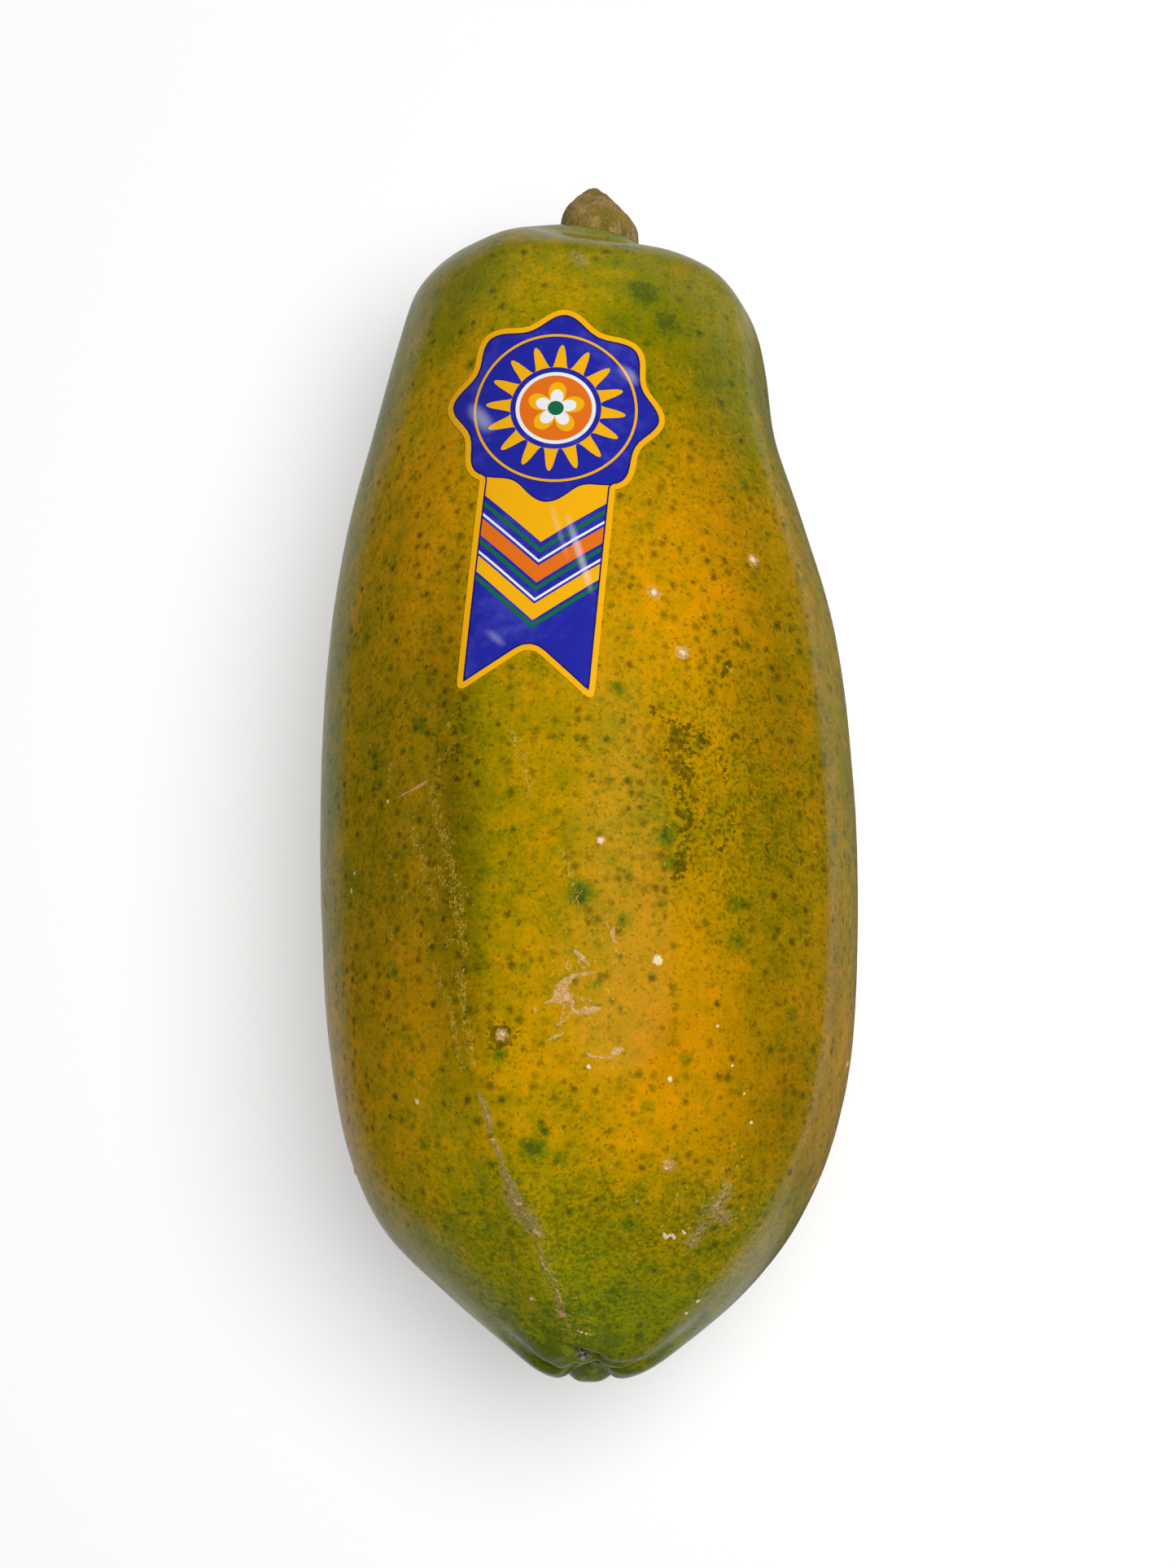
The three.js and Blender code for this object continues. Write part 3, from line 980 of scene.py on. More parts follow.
def thicken(height: float) -> None:
    """Draws the selected faces up into a block, in edit mode."""
    bpy.ops.mesh.extrude_region_move(TRANSFORM_OT_translate={"value": (0.0, 0.0, height * MM)})


def apply_modifier(piece: bpy.types.Object, kind: str, **settings: object) -> None:
    """Adds a modifier to a piece, sets its properties and applies it.

    Args:
        piece: The piece.
        kind: The modifier's type.
        settings: Its properties by name.
    """
    pick_only(piece)
    modifier = piece.modifiers.new(kind.title(), kind)
    for name, value in settings.items():
        setattr(modifier, name, value)
    bpy.ops.object.modifier_apply(modifier=modifier.name)


def displace(piece: bpy.types.Object, height: float, **settings: object) -> None:
    """Moves a piece's skin out by a height in millimetres, as the modifier's settings say."""
    apply_modifier(piece, "DISPLACE", strength=height * MM, **settings)


def clouds(name: str, size: float, depth: int = 2) -> bpy.types.Texture:
    """Makes a cloudy texture for relief, with clouds of a size in millimetres and some finer layers."""
    texture = bpy.data.textures.new(name, "CLOUDS")
    texture.noise_scale = size * MM
    texture.noise_depth = depth
    return texture


def put(name: str, data: bpy.types.ID) -> bpy.types.Object:
    """Places a new object in the scene."""
    thing = bpy.data.objects.new(name, data)
    bpy.context.scene.collection.objects.link(thing)
    return thing


def loose_copy(node: str, name: str) -> bpy.types.Object:
    """Copies a CAD node's mesh as a new piece, and joins its triangles.

    Args:
        node: The CAD node's name.
        name: The piece's name.

    Returns:
        The piece.
    """
    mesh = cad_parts[node].data.copy()
    mesh.materials.clear()
    mesh.name = name
    piece = put(name, mesh)
    pick_only(piece)
    bpy.ops.mesh.customdata_custom_splitnormals_clear()
    edit(
        piece,
        lambda: bpy.ops.mesh.remove_doubles(threshold=0.01 * MM),
        lambda: bpy.ops.mesh.normals_make_consistent(inside=False),
    )
    return piece


def corners_of(piece: bpy.types.Object) -> np.ndarray:
    """Returns a piece's vertices in millimetres, one to a row."""
    places = np.empty(len(piece.data.vertices) * 3, np.float32)
    piece.data.vertices.foreach_get("co", places)
    return places.reshape(-1, 3).astype(float) / MM


def move_corners(piece: bpy.types.Object, places: np.ndarray) -> None:
    """Puts a piece's vertices at places in millimetres."""
    piece.data.vertices.foreach_set("co", (places * MM).astype(np.float32).ravel())
    piece.data.update()


def write_layer(piece: bpy.types.Object, name: str, values: np.ndarray) -> None:
    """Keeps a value for each vertex as an attribute."""
    layer = piece.data.attributes.new(name, "FLOAT", "POINT")
    layer.data.foreach_set("value", values.astype(np.float32))


def weight_group(piece: bpy.types.Object, name: str, weights: np.ndarray) -> str:
    """Makes a vertex group for a modifier from weights of 0 to 1, and returns its name.

    Args:
        piece: The piece.
        name: The group's name.
        weights: Weights of 0 to 1, one to a vertex.

    Returns:
        The group's name.
    """
    group = piece.vertex_groups.new(name=name)
    for index in np.flatnonzero(weights > LEAST_WEIGHT):
        group.add([int(index)], float(min(weights[index], 1.0)), "REPLACE")
    return group.name


def off_line(places: np.ndarray, start: np.ndarray, end: np.ndarray) -> tuple[np.ndarray, np.ndarray]:
    """Measures places against a straight line.

    Args:
        places: Points, one to a row.
        start: The line's start.
        end: Its end.

    Returns:
        How far down the line each point lies, from 0 to 1, and its distance from the line.
    """
    way = end - start
    share = np.clip((places - start) @ way / (way @ way), 0.0, 1.0)
    return share, np.linalg.norm(places - start - share[:, None] * way, axis=1)


# ---- skin ----


class Skin:
    """The bare skin, as a surface that marks are placed on."""

    CENTRE = np.array([0.652, 1.882, 61.334])
    TILT = math.radians(3.0)

    def __init__(self, surface: bpy.types.Object) -> None:
        """Keeps a search tree of a smooth surface."""
        self.tree = BVHTree.FromObject(surface, bpy.context.evaluated_depsgraph_get())
        self.axis = np.array([0.0, math.cos(self.TILT), -math.sin(self.TILT)])
        self.top = np.array([0.0, math.sin(self.TILT), math.cos(self.TILT)])
        self.right = np.array([1.0, 0.0, 0.0])

    def at(self, along: float, angle: float) -> np.ndarray:
        """Finds a place on the skin.

        Args:
            along: Millimetres along the axis.
            angle: Degrees round it.

        Returns:
            The point, in millimetres.
        """
        turn = math.radians(angle)
        outwards = self.right * math.sin(turn) + self.top * math.cos(turn)
        start = self.CENTRE + self.axis * along
        hit = self.tree.ray_cast(Vector(start * MM), Vector(outwards))[0]
        if hit is None:
            raise ValueError(f"no skin at {along}, {angle}")
        return np.array(hit) / MM

    def tip(self, right: float, up: float) -> np.ndarray:
        """Finds a place on the blossom end, seen straight on, in millimetres."""
        hit = self.tree.ray_cast(Vector((right, -FAR, up)) * MM, Vector((0.0, 1.0, 0.0)))[0]
        return np.array(hit) / MM

    def along(self, places: np.ndarray) -> np.ndarray:
        """Returns how far along the axis points are."""
        return (places - self.CENTRE) @ self.axis

    def around(self, places: np.ndarray) -> np.ndarray:
        """Returns the angle of points round the axis, from -180 to 180 degrees."""
        off = places - self.CENTRE
        return np.degrees(np.arctan2(off @ self.right, off @ self.top))

    def reach(self, places: np.ndarray) -> np.ndarray:
        """Returns the distance of points from the axis."""
        off = places - self.CENTRE
        return np.hypot(off @ self.right, off @ self.top)


@dataclass(frozen=True)
class Patch:
    """A broad soft area: where it is, how far it reaches each way, and how much it adds."""

    along: float
    angle: float
    length: float
    width: float
    amount: float

    def spread(self, skin: Skin, places: np.ndarray) -> np.ndarray:
        """Returns what the patch adds at each place.

        Args:
            skin: The bare skin.
            places: Points in millimetres, one to a row.

        Returns:
            What is added at each.
        """
        turn = (skin.around(places) - self.angle + 180.0) % 360.0 - 180.0
        across = np.radians(turn) * skin.reach(places) / self.width
        up = (skin.along(places) - self.along) / self.length
        return self.amount * np.exp(-(across**2 + up**2))


@dataclass(frozen=True)
class Mark:
    """A small mark along a line of places, each with its width there."""

    line: tuple[tuple[float, float, float], ...]
    strength: float = 1.0

    def cover(self, skin: Skin, places: np.ndarray) -> np.ndarray:
        """Returns how near each place is to the mark's line: 1 on it, 0 at its width from it.

        Args:
            skin: The bare skin.
            places: Points in millimetres, one to a row.

        Returns:
            The nearness of each.
        """
        best = np.zeros(len(places))
        points = [skin.at(along, angle) for along, angle, _ in self.line]
        widths = [width for _, _, width in self.line]
        if len(points) == 1:
            return np.clip(1.0 - np.linalg.norm(places - points[0], axis=1) / widths[0], 0.0, 1.0)
        for start, end, first, last in zip(points, points[1:], widths, widths[1:]):
            share, away = off_line(places, start, end)
            best = np.maximum(best, 1.0 - away / (first + (last - first) * share))
        return np.clip(best, 0.0, 1.0)


@dataclass(frozen=True)
class Fold:
    """A long rise in the skin, or a groove where its height is below 0."""

    line: tuple[tuple[float, float], ...]
    width: float
    height: float
    on_tip: bool = False

    def rise(self, skin: Skin, places: np.ndarray) -> np.ndarray:
        """Returns how far the skin is moved out at each place.

        Args:
            skin: The bare skin.
            places: Points in millimetres, one to a row.

        Returns:
            The distance for each, in millimetres.
        """
        find = skin.tip if self.on_tip else skin.at
        points = [find(*place) for place in self.line]
        away = np.linalg.norm(places - points[0], axis=1)
        for start, end in zip(points, points[1:]):
            away = np.minimum(away, off_line(places, start, end)[1])
        return self.height * np.exp(-((away / self.width) ** 2))


def spot(along: float, angle: float, width: float, strength: float = 1.0) -> Mark:
    """Makes a round mark."""
    return Mark(((along, angle, width),), strength)


# ---- fruit ----


@dataclass
class Fruit:
    """The papaya: its smooth form, the marks on it and its relief."""

    lump_depth: float = 0.35
    lump_size: float = 26.0
    cork_height: float = 0.14
    pale_height: float = 0.22
    scab_size: float = 1.3
    deepest_fold: float = 2.0
    cork_starts: float = 0.25
    cork_full: float = 0.3
    pale_starts: float = 0.3
    pale_full: float = 0.4
    base_ripeness: tuple[tuple[float, float], ...] = (
        (-150.0, 0.08), (-142.0, 0.14), (-132.0, 0.28), (-122.0, 0.38), (-112.0, 0.5), (-100.0, 0.68),
        (-80.0, 0.74), (-50.0, 0.68), (-30.0, 0.64), (0.0, 0.66), (30.0, 0.76), (55.0, 0.7), (75.0, 0.54),
        (92.0, 0.44), (102.0, 0.47), (112.0, 0.4), (122.0, 0.34), (135.0, 0.3),
    )
    ripe_patches: tuple[Patch, ...] = (
        Patch(-76, 20, 34, 16, 0.22), Patch(-20, 0, 120, 200, -0.05), Patch(-50, -25, 50, 20, -0.08),
        Patch(25, 48, 25, 12, -0.1), Patch(20, -50, 20, 10, -0.08), Patch(88, -36, 16, 8, 0.14),
        Patch(15, 8, 26, 12, 0.1), Patch(44, 30, 26, 14, 0.16), Patch(38, -44, 34, 12, 0.08),
        Patch(-70, -40, 22, 12, 0.1), Patch(-36, -25, 46, 7, -0.12), Patch(-8, -24, 12, 8, -0.08),
        Patch(12, 27, 22, 22, 0.1), Patch(-8, 40, 26, 10, 0.08), Patch(70, -38, 26, 12, 0.1),
        Patch(72, 34, 20, 12, 0.08), Patch(-134, -8, 10, 12, -0.1), Patch(-40, 38, 40, 9, -0.1),
        Patch(-32, 22, 16, 12, -0.06), Patch(103, 20, 9, 9, -0.22), Patch(96, 10, 5, 6, -0.2),
        Patch(88, 42, 18, 12, -0.15), Patch(66, 48, 18, 8, -0.16), Patch(106, -44, 14, 12, -0.12),
        Patch(76, -53, 16, 7, 0.08), Patch(-4, -48, 14, 6, 0.05), Patch(20, 44, 14, 6, -0.05),
        Patch(-88, 50, 8, 7, -0.07), Patch(0, 58, 14, 7, -0.07), Patch(100, -4, 8, 10, 0.07),
        Patch(20, -78, 90, 12, -0.3), Patch(-14, -58, 14, 8, 0.1), Patch(-30, -56, 90, 12, -0.1),
        Patch(-96, -34, 20, 10, -0.08), Patch(10, 78, 80, 14, -0.16), Patch(20, 68, 60, 8, -0.1),
        Patch(98, 48, 20, 10, -0.1), Patch(20, -71, 50, 7, -0.12), Patch(0, 180, 110, 60, -0.16),
        Patch(10, 110, 70, 30, -0.1), Patch(-40, 140, 40, 24, 0.16), Patch(30, -120, 50, 26, -0.12),
        Patch(-60, -110, 34, 22, 0.14),
    )
    speck_patches: tuple[Patch, ...] = (
        Patch(-10, -50, 60, 22, 0.42), Patch(50, -45, 40, 18, 0.2), Patch(-20, 28, 34, 22, 0.4),
        Patch(-60, 42, 40, 12, 0.22), Patch(-94, -20, 26, 40, 0.14), Patch(-72, 20, 30, 16, -0.4),
        Patch(-84, -16, 16, 14, -0.16), Patch(104, 0, 34, 120, -0.42), Patch(20, 10, 20, 20, 0.06),
        Patch(50, 34, 20, 12, -0.06),
    )
    base_specks: float = 0.62
    fleck_patches: tuple[Patch, ...] = (
        Patch(-124, 0, 16, 60, 0.75), Patch(-20, 30, 34, 24, 0.6), Patch(-10, -50, 50, 24, 0.3),
        Patch(-60, 60, 60, 18, 0.2), Patch(60, 40, 40, 20, 0.16),
    )
    base_flecks: float = 0.34
    # Where the dusty bloom lies, and along the rims a painted greyish sheen that stands in for the floor's
    # reflection.
    bloom_and_sheen_patches: tuple[Patch, ...] = (
        Patch(-10, 66, 80, 8, 0.24), Patch(-90, 68, 34, 13, 0.1), Patch(40, 64, 34, 9, 0.26),
        Patch(-50, -84, 80, 14, 0.12), Patch(116, 30, 12, 22, 0.14), Patch(98, 50, 22, 10, 0.3),
        Patch(112, -40, 12, 16, 0.1), Patch(20, 150, 90, 30, 0.2), Patch(0, -150, 90, 30, 0.2),
    )
    # Painted shade and light: patches above 0 darken the colour and patches below 0 lighten it, along the
    # flanks, ridges, rims and ends.
    painted_light_patches: tuple[Patch, ...] = (
        Patch(-30, -42, 60, 10, 0.12), Patch(-28, -29, 50, 6.5, 0.4), Patch(-10, 44, 90, 16, 0.28),
        Patch(-20, 57, 90, 6, 0.15), Patch(60, 32, 50, 16, 0.12), Patch(-60, 16, 34, 16, 0.13),
        Patch(-60, -56, 50, 10, 0.1), Patch(-94, 49, 20, 8, 0.2), Patch(-124, -30, 16, 14, -0.2),
        Patch(96, -52, 24, 16, -0.2), Patch(86, 58, 20, 10, -0.15), Patch(-102, -21, 14, 4, 0.16),
        Patch(0, -78, 150, 18, -0.85), Patch(30, 76, 110, 14, -0.55), Patch(-112, -44, 26, 26, -0.45),
        Patch(-122, 58, 14, 11, -0.3), Patch(-84, 40, 30, 18, 0.16), Patch(-138, 0, 24, 70, -0.45),
        Patch(120, 10, 22, 44, -0.3), Patch(-69, -25.8, 20, 3.6, 0.2), Patch(12, -35, 9, 6, 0.16),
        Patch(-11, 14.5, 7, 5, 0.17), Patch(-105, -50, 10, 7, 0.18), Patch(-121, 42, 8, 9, 0.15),
        Patch(-79, 16, 8, 6, 0.12), Patch(-43, 13, 6, 5, 0.1), Patch(-112, 76, 7, 7, -0.3),
        Patch(70, -52, 10, 7, -0.12), Patch(68, 47, 14, 6, -0.12), Patch(-62, 60, 18, 6, 0.13),
        Patch(2, 46, 18, 7, 0.1),
    )
    green_spots: tuple[Mark, ...] = (
        spot(-45.2, -2.2, 5.2, 0.55), spot(2.5, 5.9, 3.2, 0.5), spot(-31.6, 16.3, 4.6, 0.42),
        spot(-37.6, 17.2, 4, 0.4), spot(-102, -13.9, 5, 0.55), spot(-82.4, 21.4, 3.2, 0.5),
        spot(-93, 13, 2.6, 0.48), spot(-46, 31.5, 4.2, 0.4), spot(-54.4, 32.2, 5, 0.36),
        spot(-51.1, 7, 3, 0.5), spot(-47.5, 14.9, 3.2, 0.46), spot(-76.3, -43.7, 2.6, 0.48),
        spot(-67.8, 18.3, 2.4, 0.3), spot(-98.5, -11.2, 2.6, 0.42), spot(-104.4, -7.6, 2.4, 0.42),
        spot(-66, 1.2, 2, 0.36), spot(-61.8, -14.2, 2.6, 0.36), spot(-81.5, -20, 2.8, 0.42),
        spot(-37, 5.2, 2.4, 0.34), spot(-40, 7.4, 2.8, 0.34), spot(13, -1, 2.6, 0.3),
        spot(-84, -43.5, 2.2, 0.4), spot(-100, -44, 2.6, 0.42), spot(-3, -38, 3.4, 0.4),
        spot(-10, -52, 3, 0.4), spot(22, -58, 3, 0.4), spot(30, 16, 2.4, 0.3), spot(22, 30, 2.6, 0.34),
        spot(16, 36, 3.2, 0.34), spot(-70, 47, 3, 0.36), spot(-78, 44, 3, 0.36), spot(-60, -46, 2.8, 0.4),
        spot(-118, 12, 3.4, 0.3), spot(98.5, 24, 6, 0.3), spot(106, 17, 7, 0.3),
    )
    stains: tuple[Mark, ...] = (
        Mark(((-0.7, 12.3, 2.6), (-3.3, 14, 3.4), (-5.2, 15.8, 2.4)), 0.5),
        Mark(((-5.6, 17.9, 3.4), (-7.3, 19, 5), (-9.6, 19.3, 4.4), (-11.3, 17.5, 3.4)), 0.82),
        Mark(((-5.2, 21.3, 2.4), (-6.1, 23.5, 4.2), (-8.8, 24.6, 3.4), (-10.7, 24.1, 2.6)), 0.66),
        Mark(((-11.4, 20.4, 3), (-12.5, 21.9, 3)), 0.6),
        Mark(((-13.9, 18.5, 3.6), (-15.8, 19.3, 4.6), (-16.8, 20.7, 4.2)), 0.86),
        Mark(((-20.4, 18.6, 3.4), (-21.9, 19.6, 2.6)), 0.72),
        Mark(((-23.4, 19.2, 3.6), (-23.3, 21.4, 3.6), (-22.7, 23.2, 2.6)), 0.64),
        Mark(((-26.1, 18.8, 3), (-26.8, 20.3, 5), (-27.4, 22.1, 4), (-29.5, 19.5, 3)), 0.76),
        Mark(((-31.7, 20.6, 3.4), (-33.2, 20.2, 3)), 0.62),
        Mark(((-35.2, 19.5, 3.4), (-37.5, 19.5, 4.2), (-39.8, 18.8, 3.6), (-40.9, 18.1, 2.6)), 0.78),
        Mark(((-36.2, 21, 2.6), (-37.7, 21, 2.6)), 0.6),
        Mark(((-9.9, 28.8, 2), (-13.7, 29.1, 3), (-16.8, 29.2, 3)), 0.5),
        Mark(((-24.8, 29.8, 3.4), (-25.1, 30.4, 2.4)), 0.6),
        Mark(((-29.1, 29.2, 4), (-32.2, 28.8, 4.6), (-31.2, 27.3, 3)), 0.56),
        Mark(((-28.5, 31.1, 3.6), (-28.2, 34, 3.6)), 0.5), Mark(((-32.9, 40, 2.6), (-31, 39.6, 2)), 0.6),
        Mark(((-6.6, 32, 2), (-5.9, 32.7, 1.6)), 0.8),
        Mark(((-1, -28, 5), (-12, -29, 6), (-18, -27.5, 4)), 0.44),
        Mark(((8, 29.8, 1.4), (10, 31, 1.9), (11.4, 31.6, 1.1)), 1),
        Mark(((14, -40, 0.8), (10, -37, 0.8)), 0.7), spot(-77.1, -19.3, 5.6, 1),
    )
    corks: tuple[Mark, ...] = (
        spot(-77.1, -19.3, 3.2, 0.85), spot(-105.5, 20.3, 4.6, 0.74), spot(-113.4, 13, 1.8, 0.62),
        spot(-81.4, -43.6, 1.2, 0.6), spot(26.7, 14.2, 4, 0.78), spot(12.4, 20.3, 4.2, 0.78),
        spot(38.2, 40.7, 4, 0.8), spot(-33, 2, 3.2, 0.7), spot(83, -67.9, 3.6, 0.7),
        Mark(((-63.2, 0.9, 0.5), (-63.7, -1.9, 0.9), (-64.2, -4.1, 1.2), (-65.4, -5.5, 2.2),
              (-66.7, -6.2, 3.2), (-68.2, -6.2, 4)), 0.95),
        Mark(((-68.6, -4.7, 2.2), (-69.1, -7.3, 2), (-69.8, -8.7, 1), (-70.3, -10.1, 0.5)), 0.9),
        Mark(((-58, -4, 0.6), (-59, -2.6, 1.2), (-60.3, -1.4, 1.2), (-61.6, -0.4, 0.7)), 0.9),
        Mark(((-58.2, -6.2, 0.5), (-59.2, -5.5, 0.6), (-60.1, -4.8, 0.5)), 0.7),
        Mark(((-60.8, -4.8, 0.5), (-61.6, -5.3, 0.7), (-62.5, -5, 0.5), (-62.9, -4.5, 0.4)), 0.75),
        Mark(((-60.1, -2.9, 0.9), (-61.2, -2.2, 0.9)), 0.66),
        Mark(((-61.9, -2.2, 1), (-62.5, -1.4, 0.7)), 0.62),
        Mark(((-72.2, -4.2, 0.7), (-72.1, -2.8, 1.4), (-71.8, -0.7, 2.1), (-71.5, 0.9, 1.3),
              (-71.3, 2.1, 0.5)), 0.95),
        Mark(((-69.5, -3.8, 0.7), (-70.8, -4, 1.3), (-72.1, -3.8, 0.8)), 0.8),
        Mark(((-69.1, -2.4, 1.2), (-69.3, -1, 1.4), (-69.7, 0.3, 1)), 0.56),
        Mark(((-69.7, -4, 0.5), (-70.8, -5.6, 0.6), (-72.6, -6.3, 0.5), (-74.1, -6.5, 0.4)), 0.8),
        Mark(((-72.2, -4.5, 0.5), (-73.3, -4.9, 0.6), (-74.6, -6.3, 0.6), (-75.5, -7.9, 0.5)), 0.8),
        Mark(((-77, -6.1, 0.6), (-77.7, -7.7, 1.1), (-78.8, -9.7, 0.4)), 0.85),
        Mark(((-81.8, 4.6, 1), (-80.9, 5.5, 2.6), (-80.6, 6.4, 1.6)), 0.85),
        Mark(((-81.5, -1.1, 0.5), (-82.1, 0.3, 0.7), (-82.4, 2.1, 0.7), (-82.2, 4.3, 0.7)), 0.8),
        Mark(((-80.1, 1.8, 0.4), (-81.7, 2, 0.5)), 0.7), Mark(((-71.1, -12, 0.6), (-72.2, -12, 0.9)), 0.8),
        Mark(((-50, 3.1, 0.6), (-51.5, 3.8, 0.6)), 0.62), Mark(((-51.9, 3.4, 0.8), (-53, 3.8, 0.8)), 0.75),
        Mark(((-53, 4.8, 0.9), (-54.1, 4.5, 1.3), (-55.8, 4.8, 0.8), (-56.7, 5.8, 0.4)), 0.85),
        Mark(((-58.2, 5.3, 1), (-59.1, 6, 0.8)), 0.75),
        Mark(((-90.8, -24.7, 1), (-93.2, -23.9, 2.2), (-95.4, -23.4, 2.2), (-98.2, -23.6, 1)), 0.5),
        Mark(((-99.8, -24, 0.6), (-99.8, -22.9, 0.7)), 0.8),
        Mark(((-100.4, -23.2, 1.2), (-101.8, -22.4, 1.5), (-103.2, -21.9, 0.9)), 0.52),
        Mark(((-105, -21.8, 0.8), (-107.1, -21.9, 0.8)), 0.56),
        Mark(((-108.2, -21.5, 2), (-109.9, -21, 2.6), (-112, -21.2, 3), (-114.1, -20.6, 3.6),
              (-115.8, -18.9, 3.6), (-117.9, -17.5, 2.8), (-119.8, -16.5, 2.8)), 0.5),
        Mark(((-114, -22, 2), (-116.1, -21.8, 2.2), (-117.8, -21.3, 1)), 0.5),
        Mark(((-113.4, -20.8, 1), (-113.6, -19.5, 1.2)), 0.85),
        Mark(((-119.3, -17.6, 1.2), (-120.1, -16.4, 1.6)), 0.9),
        Mark(((-124.4, -18, 0.9), (-126.5, -17.8, 1.4), (-128.3, -16.1, 1.1), (-130, -14.9, 0.8)), 0.62),
        Mark(((-131.1, -15.4, 0.7), (-132.8, -14.1, 1.2), (-134.6, -14.2, 0.9)), 0.62),
        Mark(((-136.3, -17.7, 1), (-137.4, -14.8, 2)), 0.85),
        Mark(((-133.5, -28.5, 0.9), (-134.1, -27.7, 0.9)), 0.85),
        Mark(((-19.7, -44.6, 0.4), (-18.8, -41.6, 0.6), (-18, -38.3, 1), (-16.9, -35.7, 0.5)), 0.85),
        Mark(((-14.4, -32.6, 0.6), (-16, -32.4, 0.8)), 0.6), spot(-140, -13.6, 1, 0.8),
        spot(-141.2, -8.2, 0.9, 0.8), spot(-142, -0.5, 0.8, 0.75), spot(-45.4, 69.7, 4.2, 0.6),
        Mark(((-111, 38.4, 2), (-114, 37, 3), (-116.4, 42, 2.4)), 0.54),
        Mark(((-119, 36, 2), (-121.6, 34.8, 2.4)), 0.54),
    )
    pale_flecks: tuple[Mark, ...] = (
        spot(26.7, 14.2, 1.6, 0.86), spot(12.4, 20.3, 1.6, 0.86), spot(38.2, 40.7, 1.5),
        spot(-33, 2, 1.7, 0.9), spot(-60.2, 14.3, 2.2), spot(-86.8, 17.9, 1.2), spot(-90.4, -43, 1.3),
        spot(-38.9, -61.5, 1.2), spot(-84.4, -0.5, 1.2, 0.9), spot(-106.2, 19.6, 1, 0.8),
        spot(-95.4, 39.7, 0.9), spot(-89.1, 36.6, 0.7), spot(-83.1, 32.7, 0.7), spot(-74.4, 28.4, 0.7),
        spot(-133.9, 51.5, 1.1), spot(-136.6, 50.6, 0.9), spot(-133.9, -29.4, 0.8),
        Mark(((-120.2, 24.2, 1), (-120.9, 25.6, 1.3), (-120.2, 27, 0.9), (-121, 28.4, 1.2)), 0.8),
        Mark(((-119.4, 30.2, 0.8), (-119.9, 31.2, 1)), 0.8), spot(-77.1, -19.3, 1.7, 0.6),
        spot(10, 31, 0.6), spot(-141.5, -6, 0.7), spot(-141.8, -3, 0.6), spot(-20, -47.5, 1),
        spot(-35, -60, 1.1, 0.8),
    )
    silver: tuple[Mark, ...] = (
        Mark(((-90.1, -24.6, 1.4), (-93.2, -23.9, 2.6), (-95.4, -23.4, 2.6), (-98.2, -23.6, 1.4)), 0.7),
        Mark(((-100, -23.3, 1.6), (-101.8, -22.4, 2.2), (-103.6, -21.9, 1.4)), 0.7),
        Mark(((-104.6, -21.9, 1), (-107.1, -21.7, 1.8), (-109.9, -21, 3.2), (-112.3, -20.9, 4.4),
              (-115.1, -20.1, 5.6), (-117.6, -18.1, 4.4), (-120, -16.6, 3.4)), 0.84),
        Mark(((-122, -17.4, 1.2), (-126.9, -17.3, 2.4), (-130.4, -15, 1.4)), 0.66),
        Mark(((-132.1, -15.2, 1.4), (-137.1, -15.1, 2.6)), 0.66),
        Mark(((116.3, -5.6, 2.6), (114.8, -3.8, 4.4), (113.6, -2.1, 3)), 0.78),
        Mark(((-109, 37.6, 2.6), (-111, 38.4, 4), (-114.6, 36.6, 5.6), (-116.4, 42, 4.6)), 0.7),
        Mark(((-118, 36, 4), (-121.6, 34.8, 4.4)), 0.66),
    )
